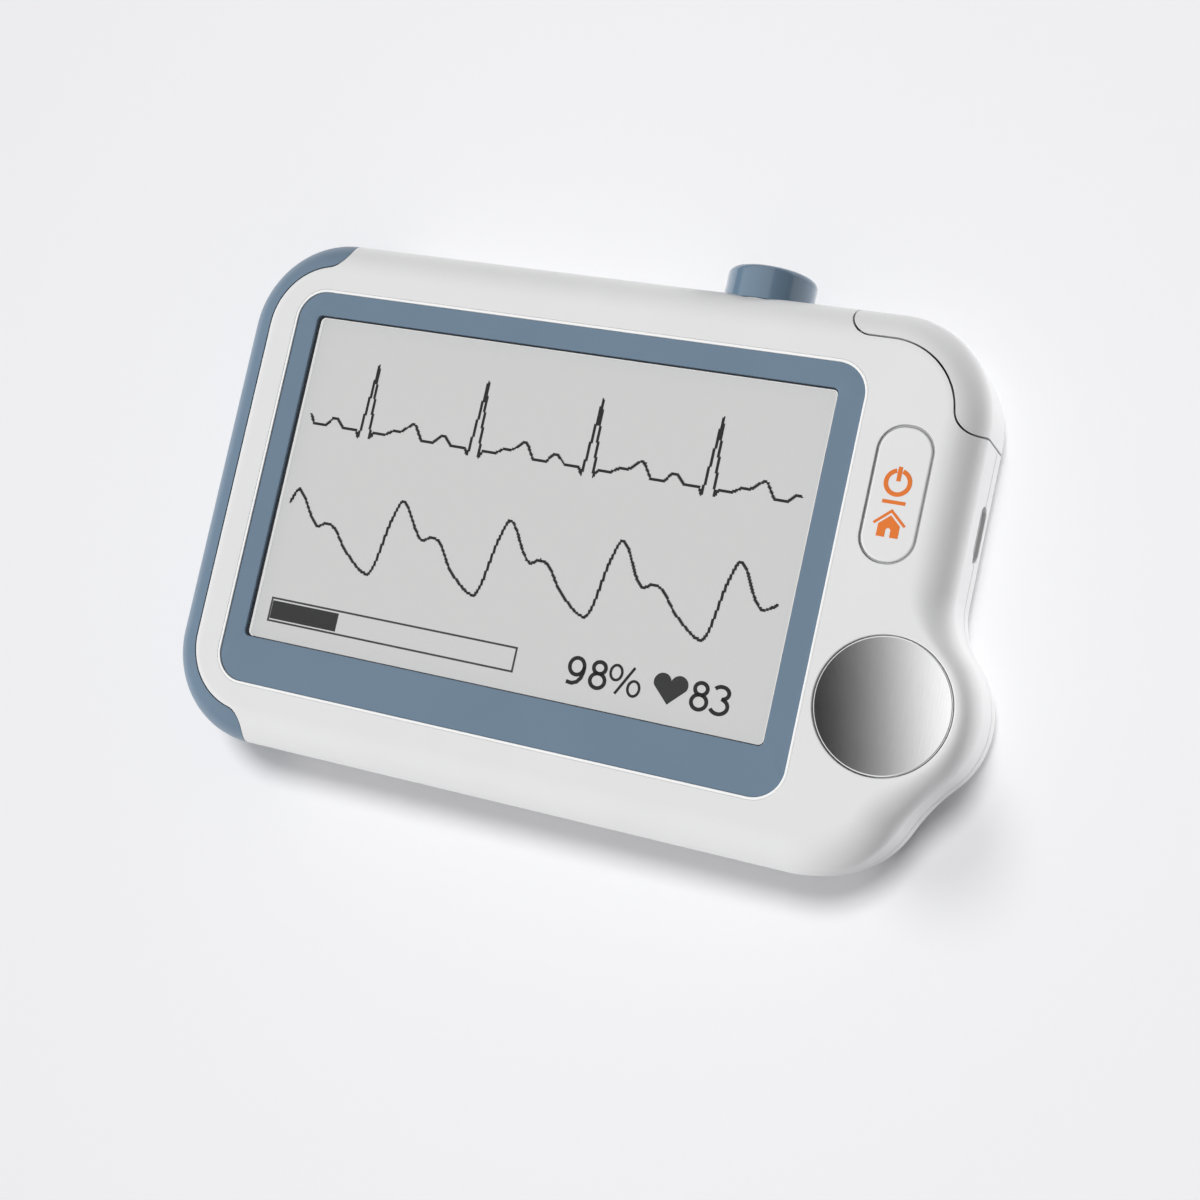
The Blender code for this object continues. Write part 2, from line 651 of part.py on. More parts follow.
def copies(piece, name, places):
    """The piece and further objects of its mesh, each at its place, numbered from 1."""
    found = []
    for number, place in enumerate(places, start=1):
        item = piece if number == 1 else bpy.data.objects.new(name, piece.data)
        if number > 1:
            bpy.context.scene.collection.objects.link(item)
        item.name = f"{name}_{number}"
        item.location = place
        found.append(item)
    return found


# Places that several pieces share


def case_screw_places():
    edge = TOP_SIDE - SCREW_EDGE_INSET
    return [(share * CASE_LENGTH, side * edge) for share, side in SCREW_SHARES] + [LOBE_SCREW]


def board_screw_places():
    left = BOARD_LEFT + POST_INSET
    right = BOARD_MAIN_RIGHT - POST_INSET
    edge = BOARD_WIDTH / 2 - POST_INSET
    return [(x, y) for x in (left, right) for y in (-edge, edge)]


def ear_places():
    """Centres of the display frame's screw holes."""
    edge = (FRAME_WIDTH + EAR_REACH) / 2
    return [(SCREEN_X + share * SCREEN_LENGTH, SCREEN_Y + side * edge) for share, side in EAR_SHARES]


def board_place(shares):
    """A place on the board from shares of its main part's length and its width."""
    length = BOARD_MAIN_RIGHT - BOARD_LEFT
    middle = (BOARD_LEFT + BOARD_MAIN_RIGHT) / 2
    return (middle + shares[0] * length, shares[1] * BOARD_WIDTH)


def cover_prism(name, grow, outer, low, high):
    """The finger clip cover's plan, grown by grow, from outer inwards, as a prism."""
    outline = band_outline(
        ((COVER_CORNER, 0),),
        COVER_BAND + grow,
        COVER_END_RADIUS + grow,
        COVER_END_TURN,
        COVER_TAIL,
        outer,
    )
    return prism(name, outline, low, high)


def trim_prism(name, grow, outer, low, high):
    """The left side trim's plan, grown by grow, from outer inwards, as a prism."""
    left_x = LEFT_SIDE + CORNER_RADIUS
    outline = band_outline(
        (((left_x, COVER_CORNER[1]), 90), ((left_x, -COVER_CORNER[1]), 180)),
        TRIM_BAND + grow,
        TRIM_END_RADIUS + grow,
        TRIM_END_TURN,
        0.0,
        outer,
    )
    return prism(name, outline, low, high)


def case_solid(name):
    """The whole outside of the case, filled."""
    return lofted(name, back_edge_rings(0.0) + face_edge_rings(0.0))


def bed_outline(inner, outer, side_gap):
    """Plan of a slice of the wall behind the finger clip cover, between two radii."""
    low = CLIP_TURN - BED_TURN
    high = CLIP_TURN + BED_TURN
    inner_trim = math.degrees(side_gap / inner)
    outer_trim = math.degrees(side_gap / outer)
    return arc(COVER_CORNER, inner, low + inner_trim, high - inner_trim, CORNER_STEPS) + arc(
        COVER_CORNER, outer, high - outer_trim, low + outer_trim, CORNER_STEPS
    )


def clip_block(name, near, far, width, height):
    """Block that lies square to the middle of the finger clip, from near to far of its centre."""
    middle = CASE_DEPTH / 2
    corners = []
    for distance, side in ((near, -1), (far, -1), (far, 1), (near, 1)):
        foot = polar(COVER_CORNER, distance, CLIP_TURN)
        corners.append(polar(foot, side * width / 2, CLIP_TURN + 90))
    return prism(name, corners, middle - height / 2, middle + height / 2)


# The two shells


def front_shell():
    low = SPLIT_HEIGHT + CLEARANCE / 2
    lip_top = low + LIP_HEIGHT
    skin = [case_ring(low, LIP_SKIN), case_ring(low, 0.0)] + face_edge_rings(0.0)
    hollow = [case_ring(lip_top, LIP_SKIN), case_ring(lip_top, WALL)] + face_edge_rings(WALL)
    shell = lofted("front_shell", hollow[::-1] + skin)
    walls = (
        cover_prism("front_wall_behind_cover", COVER_SEAM / 2 + WALL, WALL * ROOT_SHARE, low,
                    CEILING + JOIN_OVERLAP),
        trim_prism("front_wall_behind_trim", TRIM_SEAM / 2 + WALL, WALL * ROOT_SHARE, low,
                   CEILING + JOIN_OVERLAP),
    )
    bosses = [
        turned(f"front_boss_{i}", [(BOSS_RADIUS, low), (BOSS_RADIUS, CEILING + JOIN_OVERLAP)],
               place, steps=SMALL_ROUND_STEPS)
        for i, place in enumerate(case_screw_places())
    ]
    ear_bosses = [
        turned(f"ear_boss_{i}",
               [(SMALL_SCREW_HEAD, EAR_TOP + CLEARANCE), (SMALL_SCREW_HEAD, CEILING + JOIN_OVERLAP)],
               place, steps=SMALL_ROUND_STEPS)
        for i, place in enumerate(ear_places())
    ]
    join(shell, *walls, *bosses, *ear_bosses)
    cut(shell, *bite_cutters("front"))
    join(shell, hinge_lug())
    cut(
        shell,
        prism("bezel_pocket", rectangle(BEZEL_PLACE, BEZEL_LENGTH + 2 * SNAP_GAP,
              BEZEL_WIDTH + 2 * SNAP_GAP, BEZEL_CORNER + SNAP_GAP, CORNER_STEPS),
              POCKET_FLOOR, FACE + CUT_OVERRUN),
        prism("panel_opening", rectangle(SCREEN, PANEL_LENGTH + 2 * CLEARANCE,
              PANEL_WIDTH + 2 * CLEARANCE, GLASS_CORNER + CLEARANCE),
              CEILING - CUT_OVERRUN, FACE),
        prism("button_opening", rectangle(BUTTON, BUTTON_WIDTH + 2 * CLEARANCE,
              BUTTON_LENGTH + 2 * CLEARANCE, BUTTON_CORNER + CLEARANCE, CORNER_STEPS),
              CEILING - CUT_OVERRUN, FACE + CUT_OVERRUN),
        stepped_cutter("thumb_plate_pocket", LOBE, THUMB_PLATE_RADIUS + SNAP_GAP,
                       STEM_RADIUS + SNAP_GAP, FACE - PLATE_THICKNESS - BOND_GAP, 1),
        port_cutter("front_port_opening"),
        probe_cutter("front_probe_opening"),
        bed_cutter("front_bed_opening"),
        side_stem_cutter("front_stem_hole"),
        *[
            turned(f"front_pilot_{i}", [(CASE_SCREW_RADIUS + PILOT_GAP, low - CUT_OVERRUN),
                   (CASE_SCREW_RADIUS + PILOT_GAP, low + CASE_SCREW_BITE + CLEARANCE)],
                   place, steps=SMALL_ROUND_STEPS)
            for i, place in enumerate(case_screw_places())
        ],
        *[
            turned(f"ear_pilot_{i}", [(SMALL_SCREW_RADIUS + PILOT_GAP, EAR_TOP),
                   (SMALL_SCREW_RADIUS + PILOT_GAP, FRAME_SCREW_TIP + BOND_GAP)], place,
                   steps=SMALL_ROUND_STEPS)
            for i, place in enumerate(ear_places())
        ],
    )
    return finish(shell, WHITE_PLASTIC, 0.4)


def rear_shell():
    high = SPLIT_HEIGHT - CLEARANCE / 2
    lip = LIP_SKIN + SNAP_GAP
    lip_top = high + LIP_HEIGHT
    outside = back_edge_rings(0.0) + [case_ring(high, 0.0), case_ring(high, lip)]
    inside = back_edge_rings(WALL) + [case_ring(lip_top, WALL), case_ring(lip_top, lip)]
    shell = lofted("rear_shell", outside + inside[::-1])
    root = WALL - JOIN_OVERLAP
    walls = (
        cover_prism("rear_wall_behind_cover", COVER_SEAM / 2 + WALL, WALL * ROOT_SHARE, root, high),
        trim_prism("rear_wall_behind_trim", TRIM_SEAM / 2 + WALL, WALL * ROOT_SHARE, root, high),
    )
    lip_gaps = (
        cover_prism("lip_gap_at_cover", COVER_SEAM / 2 + WALL + CLEARANCE, -CUT_OVERRUN,
                    high + BOND_GAP, lip_top + CUT_OVERRUN),
        trim_prism("lip_gap_at_trim", TRIM_SEAM / 2 + WALL + CLEARANCE, -CUT_OVERRUN,
                   high + BOND_GAP, lip_top + CUT_OVERRUN),
    )
    cut(shell, *lip_gaps)
    join(shell, *walls)
    cut(shell, *bite_cutters("rear"))
    posts = [
        turned(f"case_post_{i}", [(BOSS_RADIUS, root), (BOSS_RADIUS, high)], place,
               steps=SMALL_ROUND_STEPS)
        for i, place in enumerate(case_screw_places())
    ]
    board_posts = [
        turned(f"board_post_{i}", [(POST_RADIUS, root), (POST_RADIUS, BOARD_BOTTOM - CLEARANCE)],
               place, steps=SMALL_ROUND_STEPS)
        for i, place in enumerate(board_screw_places())
    ]
    join(shell, *posts, *board_posts)
    slots = [
        prism(f"grille_slot_{i}", rectangle((SPEAKER[0], SPEAKER[1] + row * GRILLE_PITCH),
              2 * math.sqrt((SPEAKER_RADIUS * GRILLE_SHARE) ** 2 - (row * GRILLE_PITCH) ** 2),
              GRILLE_SLOT_WIDTH, GRILLE_SLOT_WIDTH / 2), -CUT_OVERRUN, WALL + CUT_OVERRUN)
        for i, row in enumerate(range(-(GRILLE_SLOTS // 2), GRILLE_SLOTS // 2 + 1))
    ]
    cut(
        shell,
        stepped_cutter("back_plate_pocket", LOBE, BACK_PLATE_RADIUS + SNAP_GAP,
                       STEM_RADIUS + SNAP_GAP, BACK_PLATE_SINK + PLATE_THICKNESS + BOND_GAP, -1),
        port_cutter("rear_port_opening"),
        probe_cutter("rear_probe_opening"),
        bed_cutter("rear_bed_opening"),
        *slots,
        *[
            turned(f"case_screw_hole_{i}", [
                (CASE_SCREW_HEAD + SNAP_GAP, -CUT_OVERRUN),
                (CASE_SCREW_HEAD + SNAP_GAP, SCREW_SEAT),
                (CASE_SCREW_RADIUS + SNAP_GAP, SCREW_SEAT),
                (CASE_SCREW_RADIUS + SNAP_GAP, high + CUT_OVERRUN),
            ], place, steps=SMALL_ROUND_STEPS)
            for i, place in enumerate(case_screw_places())
        ],
        *[
            turned(f"board_pilot_{i}", [
                (SMALL_SCREW_RADIUS + PILOT_GAP, BOARD_BOTTOM - BOARD_SCREW_BITE - CLEARANCE),
                (SMALL_SCREW_RADIUS + PILOT_GAP, BOARD_BOTTOM),
            ], place, steps=SMALL_ROUND_STEPS)
            for i, place in enumerate(board_screw_places())
        ],
    )
    return finish(shell, WHITE_PLASTIC, 0.4)


def bite_cutters(side):
    """What the shells leave free for the cover and for the side trim."""
    low, high = -CUT_OVERRUN, CASE_DEPTH + CUT_OVERRUN
    return (
        cover_prism(f"{side}_cover_bite", COVER_SEAM / 2, -CUT_OVERRUN, low, high),
        trim_prism(f"{side}_trim_bite", TRIM_SEAM / 2, -CUT_OVERRUN, low, high),
    )


def stepped_cutter(name, place, wide, narrow, step, side):
    """Round pocket open towards side, 1 up or -1 down, with a hole through its floor."""
    ends = (step - side * (WALL + CUT_OVERRUN), step, step, step + side * (WALL + CUT_OVERRUN))
    return turned(name, list(zip((narrow, narrow, wide, wide), ends)), place)


def port_cutter(name):
    outline = rectangle(
        (PORT_Y, PORT_Z), PORT_WIDTH + 2 * CLEARANCE, PORT_HEIGHT + 2 * CLEARANCE,
        PORT_CORNER + CLEARANCE,
    )
    return prism(name, outline, RIGHT_SIDE - WALL - CUT_OVERRUN, RIGHT_SIDE + CUT_OVERRUN, "yz")


def probe_cutter(name):
    radius = NOZZLE_RADIUS + SNAP_GAP
    return turned(
        name, [(radius, TOP_SIDE - WALL - CUT_OVERRUN), (radius, TOP_SIDE + CUT_OVERRUN)],
        (PROBE_X, PROBE_Z), "xz",
    )


def bed_cutter(name):
    outline = bed_outline(BED_WALL - WALL - CUT_OVERRUN, BED_WALL + CUT_OVERRUN, 0.0)
    return prism(name, outline, BED_LOW_SHARE * CASE_DEPTH, BED_HIGH_SHARE * CASE_DEPTH)


def hinge_lug():
    """Arm from the wall behind the cover to an eye round the hinge pin."""
    high = LUG_LOW + LUG_HEIGHT
    foot = polar(HINGE, COVER_END_RADIUS + COVER_SEAM / 2 + JOIN_OVERLAP, LUG_TURN)
    across = LUG_TURN + 90
    outline = arc(HINGE, LUG_RADIUS, LUG_TURN - 270, LUG_TURN - 90, LOBE_STEPS)
    outline += [polar(foot, -LUG_RADIUS, across), polar(foot, LUG_RADIUS, across)]
    lug = prism("hinge_lug", outline, LUG_LOW, high)
    eye = PIN_RADIUS + PIN_CLEARANCE
    cut(lug, turned("lug_eye", [(eye, LUG_LOW - CUT_OVERRUN), (eye, high + CUT_OVERRUN)], HINGE,
                    steps=2 * SMALL_ROUND_STEPS))
    return lug


# Side trim


def side_trim():
    trim = case_solid("side_trim")
    keep(trim, trim_prism("trim_plan", -TRIM_SEAM / 2, -CUT_OVERRUN, -CUT_OVERRUN,
                          CASE_DEPTH + CUT_OVERRUN))
    plate = rectangle((0.0, SIDE_PLATE_Z), SIDE_PLATE_LENGTH + 2 * SNAP_GAP,
                      SIDE_PLATE_HEIGHT + 2 * SNAP_GAP, SIDE_PLATE_HEIGHT / 2 + SNAP_GAP)
    cut(
        trim,
        prism("side_plate_pocket", plate, LEFT_SIDE - CUT_OVERRUN,
              LEFT_SIDE + SIDE_PLATE_SINK + PLATE_THICKNESS + BOND_GAP, "yz"),
        side_stem_cutter("trim_stem_hole"),
    )
    return finish(trim, BLUE_PLASTIC, 0.35)


def side_stem_cutter(name):
    radius = SIDE_STEM_RADIUS + SNAP_GAP
    ends = (LEFT_SIDE + PLATE_THICKNESS, TRIM_WALL + CUT_OVERRUN)
    return turned(name, [(radius, x) for x in ends], (0.0, SIDE_STEM_Z), "yz",
                  SMALL_ROUND_STEPS)


def side_electrode():
    outline = rectangle((0.0, SIDE_PLATE_Z), SIDE_PLATE_LENGTH, SIDE_PLATE_HEIGHT,
                        SIDE_PLATE_HEIGHT / 2)
    low = LEFT_SIDE + SIDE_PLATE_SINK
    plate = prism("side_electrode", outline, low, low + PLATE_THICKNESS, "yz")
    join(plate, turned("side_stem", [(SIDE_STEM_RADIUS, x) for x in (
        low + PLATE_THICKNESS / 2, TRIM_WALL + SNAP_GAP)], (0.0, SIDE_STEM_Z), "yz",
        SMALL_ROUND_STEPS))
    return finish(plate, STEEL, 0.25, 1.0)


# Display, from the face down


def display_bezel():
    outer = (BEZEL_PLACE, BEZEL_LENGTH, BEZEL_WIDTH, BEZEL_CORNER)
    window = (SCREEN, SCREEN_LENGTH, SCREEN_WIDTH, SCREEN_CORNER)
    rings = [
        rectangle_ring(*outer, BEZEL_BOTTOM),
        rectangle_ring(*outer, BEZEL_TOP - BEZEL_EDGE),
        rectangle_ring(*outer, BEZEL_TOP, BEZEL_EDGE),
        rectangle_ring(*window, BEZEL_TOP, -BEZEL_EDGE),
        rectangle_ring(*window, BEZEL_TOP - BEZEL_EDGE),
        rectangle_ring(*window, BEZEL_BOTTOM),
    ]
    return finish(lofted("display_bezel", rings, closed=True), BLUE_PLASTIC, 0.45)


def touch_panel():
    outline = rectangle(SCREEN, PANEL_LENGTH, PANEL_WIDTH, GLASS_CORNER)
    return finish(prism("touch_panel", outline, PANEL_BOTTOM, PANEL_TOP), CLEAR_GLASS, 0.2,
                  alpha=0.2)


def lcd_module():
    outline = rectangle(SCREEN, LCD_LENGTH, LCD_WIDTH, GLASS_CORNER)
    return finish(prism("lcd_module", outline, LCD_BOTTOM, LCD_TOP), GREY_GLASS, 0.5)


def display_foam():
    outer = (SCREEN, LCD_LENGTH - 2 * CLEARANCE, LCD_WIDTH - 2 * CLEARANCE, GLASS_CORNER)
    inner = (SCREEN, outer[1] - 2 * FOAM_BORDER, outer[2] - 2 * FOAM_BORDER, GLASS_CORNER)
    rings = [
        rectangle_ring(*outer, FOAM_BOTTOM),
        rectangle_ring(*outer, FOAM_TOP),
        rectangle_ring(*inner, FOAM_TOP),
        rectangle_ring(*inner, FOAM_BOTTOM),
    ]
    return finish(lofted("display_foam", rings, closed=True), DARK_RUBBER, 0.9)


def display_frame():
    inside = (SCREEN, LCD_LENGTH + 2 * CLEARANCE, LCD_WIDTH + 2 * CLEARANCE, FRAME_CORNER)
    outside = (SCREEN, FRAME_LENGTH, FRAME_WIDTH, FRAME_CORNER + FRAME_RIM)
    rim_top = CEILING - CLEARANCE
    rings = [
        rectangle_ring(*inside, FRAME_TOP),
        rectangle_ring(*inside, rim_top),
        rectangle_ring(*outside, rim_top),
        rectangle_ring(*outside, FRAME_BOTTOM),
    ]
    frame = lofted("display_frame", rings)
    ears = []
    for i, (x, y) in enumerate(ear_places()):
        side = 1 if y > SCREEN_Y else -1
        centre = (x, y - side * JOIN_OVERLAP / 2)
        ears.append(prism(f"frame_ear_{i}", rectangle(centre, EAR_WIDTH, EAR_REACH + JOIN_OVERLAP,
                    EAR_WIDTH / 4), EAR_TOP - EAR_THICKNESS, EAR_TOP))
    join(frame, *ears)
    edge = SCREEN_Y - FRAME_WIDTH / 2
    cut(
        frame,
        prism("frame_window", rectangle(SCREEN, SCREEN_LENGTH - 2 * FRAME_WINDOW_MARGIN,
              SCREEN_WIDTH - 2 * FRAME_WINDOW_MARGIN, FRAME_WINDOW_MARGIN / 2),
              FRAME_BOTTOM - CUT_OVERRUN, FRAME_TOP + CUT_OVERRUN),
        prism("ribbon_notch", rectangle((SCREEN_X, edge), FLEX_WIDTH + 2 * CLEARANCE,
              4 * FRAME_RIM, FRAME_RIM / 4), FRAME_TOP + BOND_GAP, FACE),
        *[
            turned(f"ear_hole_{i}", [(SMALL_SCREW_RADIUS + SNAP_GAP, FRAME_BOTTOM),
                   (SMALL_SCREW_RADIUS + SNAP_GAP, FACE)], place, steps=SMALL_ROUND_STEPS)
            for i, place in enumerate(ear_places())
        ],
    )
    return finish(frame, GREY_PLASTIC, 0.6)


def display_ribbon():
    """Flat cable from under the glass, through the frame's notch, down to the board's socket."""
    start = SCREEN_Y - LCD_WIDTH / 2 - SNAP_GAP
    bow = SCREEN_Y - FRAME_WIDTH / 2 - FLEX_LOOP
    end = RIBBON_SOCKET_FRONT - SNAP_GAP
    high = LCD_TOP - LCD_THICKNESS / 2
    low = BOARD_TOP + CHIP_HEIGHT / 2
    upper = (bow + FLEX_BEND, high - FLEX_BEND)
    lower = (bow + FLEX_BEND, low + FLEX_BEND)
    skin = FLEX_BEND + FLEX_THICKNESS
    outer = [(start, high + FLEX_THICKNESS)] + arc(upper, skin, 90, 180, SMALL_CORNER_STEPS)
    outer += arc(lower, skin, 180, 270, SMALL_CORNER_STEPS) + [(end, low - FLEX_THICKNESS)]
    inner = [(end, low)] + arc(lower, FLEX_BEND, 270, 180, SMALL_CORNER_STEPS)
    inner += arc(upper, FLEX_BEND, 180, 90, SMALL_CORNER_STEPS) + [(start, high)]
    half = FLEX_WIDTH / 2
    return finish(prism("display_ribbon", outer + inner, SCREEN_X - half, SCREEN_X + half, "yz"),
                  AMBER_FILM, 0.4)


# Main board and what is on it


def main_board():
    right = BOARD_MAIN_RIGHT
    middle = (BOARD_LEFT + right) / 2
    board = prism("main_board", rectangle((middle, 0.0), right - BOARD_LEFT, BOARD_WIDTH,
                  BOARD_CORNER), BOARD_BOTTOM, BOARD_TOP)
    wing_low = LOBE[1] - BOARD_WING_DROP
    wing_high = BUTTON[1] + BOARD_WING_RISE
    wing_middle = ((BOARD_RIGHT + right) / 2 - POST_RADIUS, (wing_low + wing_high) / 2)
    wing_size = (BOARD_RIGHT - right + 2 * POST_RADIUS, wing_high - wing_low)
    join(board, prism("board_wing", rectangle(wing_middle, *wing_size, POST_RADIUS),
                      BOARD_BOTTOM, BOARD_TOP))
    cut(
        board,
        turned("lobe_boss_hole", [(BOSS_RADIUS + CLEARANCE, BOARD_BOTTOM - CUT_OVERRUN),
               (BOSS_RADIUS + CLEARANCE, BOARD_TOP + CUT_OVERRUN)], LOBE_SCREW,
               steps=SMALL_ROUND_STEPS),
        *[
            turned(f"board_hole_{i}", [(SMALL_SCREW_RADIUS + SNAP_GAP, BOARD_BOTTOM - CUT_OVERRUN),
                   (SMALL_SCREW_RADIUS + SNAP_GAP, BOARD_TOP + CUT_OVERRUN)], place,
                   steps=SMALL_ROUND_STEPS)
            for i, place in enumerate(board_screw_places())
        ],
    )
    return finish(board, GREEN_BOARD, 0.5)


def chip(name, shares, size, height, colour, metallic=0.0):
    low = BOARD_TOP + BOND_GAP
    piece = box(name, board_place(shares), size, low, low + height, CHIP_EDGE)
    return finish(piece, colour, 0.4, metallic)


def ribbon_socket():
    centre = (SCREEN_X, RIBBON_SOCKET_FRONT + SOCKET_WIDTH / 2)
    low = BOARD_TOP + BOND_GAP
    return finish(box("ribbon_socket", centre, (SOCKET_LENGTH, SOCKET_WIDTH), low,
                      low + CHIP_HEIGHT, CHIP_EDGE), WHITE_PLASTIC, 0.5)


def battery():
    length = BATTERY_RIGHT - BATTERY_LEFT
    centre = ((BATTERY_LEFT + BATTERY_RIGHT) / 2, 0.0)
    low = WALL + CLEARANCE
    high = BOARD_BOTTOM - CLEARANCE
    edge = BATTERY_CORNER / 2
    rings = [
        rectangle_ring(centre, length, BATTERY_WIDTH, BATTERY_CORNER, z, inset)
        for z, inset in ((low, edge), (low + edge, 0.0), (high - edge, 0.0), (high, edge))
    ]
    return finish(lofted("battery", rings), SILVER_FOIL, 0.35, 0.6)


def battery_plug():
    centre = (BATTERY_RIGHT + CLEARANCE + PLUG_LENGTH / 2, SPEAKER[1] + PLUG_RISE)
    high = BOARD_BOTTOM - BOND_GAP
    return finish(box("battery_plug", centre, (PLUG_LENGTH, PLUG_WIDTH), high - PLUG_HEIGHT, high,
                      CHIP_EDGE), WHITE_PLASTIC, 0.5)


def speaker():
    low = WALL + CLEARANCE
    narrow = SPEAKER_RADIUS - SPEAKER_STEP
    profile = [
        (SPEAKER_RADIUS, low),
        (SPEAKER_RADIUS, low + SPEAKER_STEP),
        (narrow, low + SPEAKER_STEP),
        (narrow, BOARD_BOTTOM - SPEAKER_GAP),
    ]
    return finish(turned("speaker", profile, SPEAKER), CHIP_BLACK, 0.5)


# Electrodes and their contacts


def plate_electrode(name, radius, outer, inner, side):
    """Round plate with a stem; side is 1 where the plate faces up and -1 where it faces down."""
    profile = [
        (STEM_RADIUS, inner),
        (STEM_RADIUS, outer - side * PLATE_THICKNESS),
        (radius, outer - side * PLATE_THICKNESS),
        (radius, outer - side * PLATE_EDGE),
        (radius - PLATE_EDGE, outer),
    ]
    return finish(turned(name, profile, LOBE), STEEL, 0.2, 1.0)


def contact(name, start, end, x, side):
    """Bent spring strip: a foot beside the board, and an arm out to an electrode's stem.

    It lies along X from x towards side, its foot at start's height and its tip at end's.
    """
    up = 1 if end > start else -1
    thick = up * CONTACT_THICKNESS
    tip = x + side * CONTACT_REACH
    back = x - side * CONTACT_FOOT
    profile = [
        (back, start), (x, start), (tip, end - thick), (tip + side * CONTACT_FOOT / 2, end - thick),
        (tip + side * CONTACT_FOOT / 2, end), (tip - side * CONTACT_THICKNESS, end),
        (x - side * CONTACT_THICKNESS, start + thick), (back, start + thick),
    ]
    half = CONTACT_WIDTH / 2
    return finish(prism(name, profile, LOBE[1] - half, LOBE[1] + half, "xz"), GOLD_CONTACT, 0.3,
                  1.0)


def side_contact():
    """Upright strip on the board's left edge, against the side electrode's stem."""
    face = TRIM_WALL + SNAP_GAP + BOND_GAP
    low = BOARD_TOP + BOND_GAP
    foot = face + CONTACT_FOOT / 2
    high = SIDE_STEM_Z + SIDE_STEM_RADIUS
    profile = [
        (face, low), (foot, low), (foot, low + CONTACT_THICKNESS),
        (face + CONTACT_THICKNESS, low + CONTACT_THICKNESS), (face + CONTACT_THICKNESS, high),
        (face, high),
    ]
    half = CONTACT_WIDTH / 2
    return finish(prism("side_contact", profile, -half, half, "xz"), GOLD_CONTACT, 0.3, 1.0)


# Home button


def home_button():
    flange_top = CEILING - CLEARANCE
    flange = (BUTTON, BUTTON_WIDTH + 2 * BUTTON_FLANGE, BUTTON_LENGTH + 2 * BUTTON_FLANGE,
              BUTTON_CORNER + BUTTON_FLANGE)
    cap = (BUTTON, BUTTON_WIDTH, BUTTON_LENGTH, BUTTON_CORNER)
    rings = [
        rectangle_ring(*flange, flange_top - BUTTON_FLANGE),
        rectangle_ring(*flange, flange_top),
        rectangle_ring(*cap, flange_top),
        rectangle_ring(*cap, FACE - BUTTON_EDGE),
        rectangle_ring(*cap, FACE, BUTTON_EDGE),
    ]
    button = lofted("home_button", rings)
    foot = PLUNGER_TOP + BOND_GAP
    join(button, turned("button_post", [(BUTTON_POST_RADIUS, foot),
                        (BUTTON_POST_RADIUS, flange_top - BUTTON_FLANGE / 2)], BUTTON,
                        steps=SMALL_ROUND_STEPS))
    return finish(button, WHITE_PLASTIC, 0.4)


def button_switch():
    low = BOARD_TOP + BOND_GAP
    switch = box("button_switch", BUTTON, (SWITCH_SIZE, SWITCH_SIZE), low, low + SWITCH_HEIGHT,
                 CHIP_EDGE)
    well = PLUNGER_RADIUS + CLEARANCE
    cut(switch, turned("switch_well", [(well, low + SWITCH_HEIGHT - SWITCH_WELL),
                       (well, low + SWITCH_HEIGHT + CUT_OVERRUN)], BUTTON))
    return finish(switch, CHIP_BLACK, 0.5)


def switch_plunger():
    low = PLUNGER_TOP - PLUNGER_RISE - PLUNGER_SINK
    profile = [
        (PLUNGER_RADIUS, low),
        (PLUNGER_RADIUS, PLUNGER_TOP - CHIP_EDGE),
        (PLUNGER_RADIUS - CHIP_EDGE, PLUNGER_TOP),
    ]
    return finish(turned("switch_plunger", profile, BUTTON, steps=SMALL_ROUND_STEPS), DARK_RUBBER,
                  0.6)


# Charging socket


def charging_socket():
    outer = ((PORT_Y, PORT_Z), PORT_WIDTH, PORT_HEIGHT, PORT_CORNER)
    inner = ((PORT_Y, PORT_Z), PORT_WIDTH - 2 * PORT_METAL, PORT_HEIGHT - 2 * PORT_METAL,
             PORT_CORNER - PORT_METAL)
    mouth = RIGHT_SIDE - PORT_SINK
    back = mouth - PORT_DEPTH
    rings = [
        rectangle_ring(*inner, back + PORT_METAL),
        rectangle_ring(*inner, mouth),
        rectangle_ring(*outer, mouth),
        rectangle_ring(*outer, back),
    ]
    return finish(lofted("charging_socket", [turned_to(ring, "yz") for ring in rings]), STEEL, 0.3,
                  1.0)


def socket_tongue():
    back = RIGHT_SIDE - PORT_SINK - PORT_DEPTH + PORT_METAL + BOND_GAP
    outline = rectangle((PORT_Y, PORT_Z), TONGUE_WIDTH, TONGUE_THICKNESS,
                        TONGUE_THICKNESS / 4)
    return finish(prism("socket_tongue", outline, back, back + TONGUE_LENGTH, "yz"), CHIP_BLACK,
                  0.5)


# Infrared thermometer


def thermometer_nozzle():
    flange_top = TOP_SIDE - WALL - PROBE_SETBACK
    flange_low = flange_top - NOZZLE_FLANGE
    tip = TOP_SIDE + NOZZLE_RISE
    groove = TOP_SIDE + SEAL_RISE
    profile = [
        (NOZZLE_BORE, NOZZLE_TAIL_Y),
        (NOZZLE_BORE, tip),
        (NOZZLE_RADIUS - NOZZLE_CHAMFER, tip),
        (NOZZLE_RADIUS, tip - NOZZLE_CHAMFER),
        (NOZZLE_RADIUS, groove + GROOVE_WIDTH / 2),
        (NOZZLE_RADIUS - GROOVE_DEPTH, groove + GROOVE_WIDTH / 2),
        (NOZZLE_RADIUS - GROOVE_DEPTH, groove - GROOVE_WIDTH / 2),
        (NOZZLE_RADIUS, groove - GROOVE_WIDTH / 2),
        (NOZZLE_RADIUS, flange_top),
        (NOZZLE_FLANGE_RADIUS, flange_top),
        (NOZZLE_FLANGE_RADIUS, flange_low),
        (NOZZLE_RADIUS, flange_low),
        (NOZZLE_RADIUS, NOZZLE_TAIL_Y),
    ]
    return finish(turned("thermometer_nozzle", profile, (PROBE_X, PROBE_Z), "xz", bored=True),
                  CHIP_BLACK, 0.4)


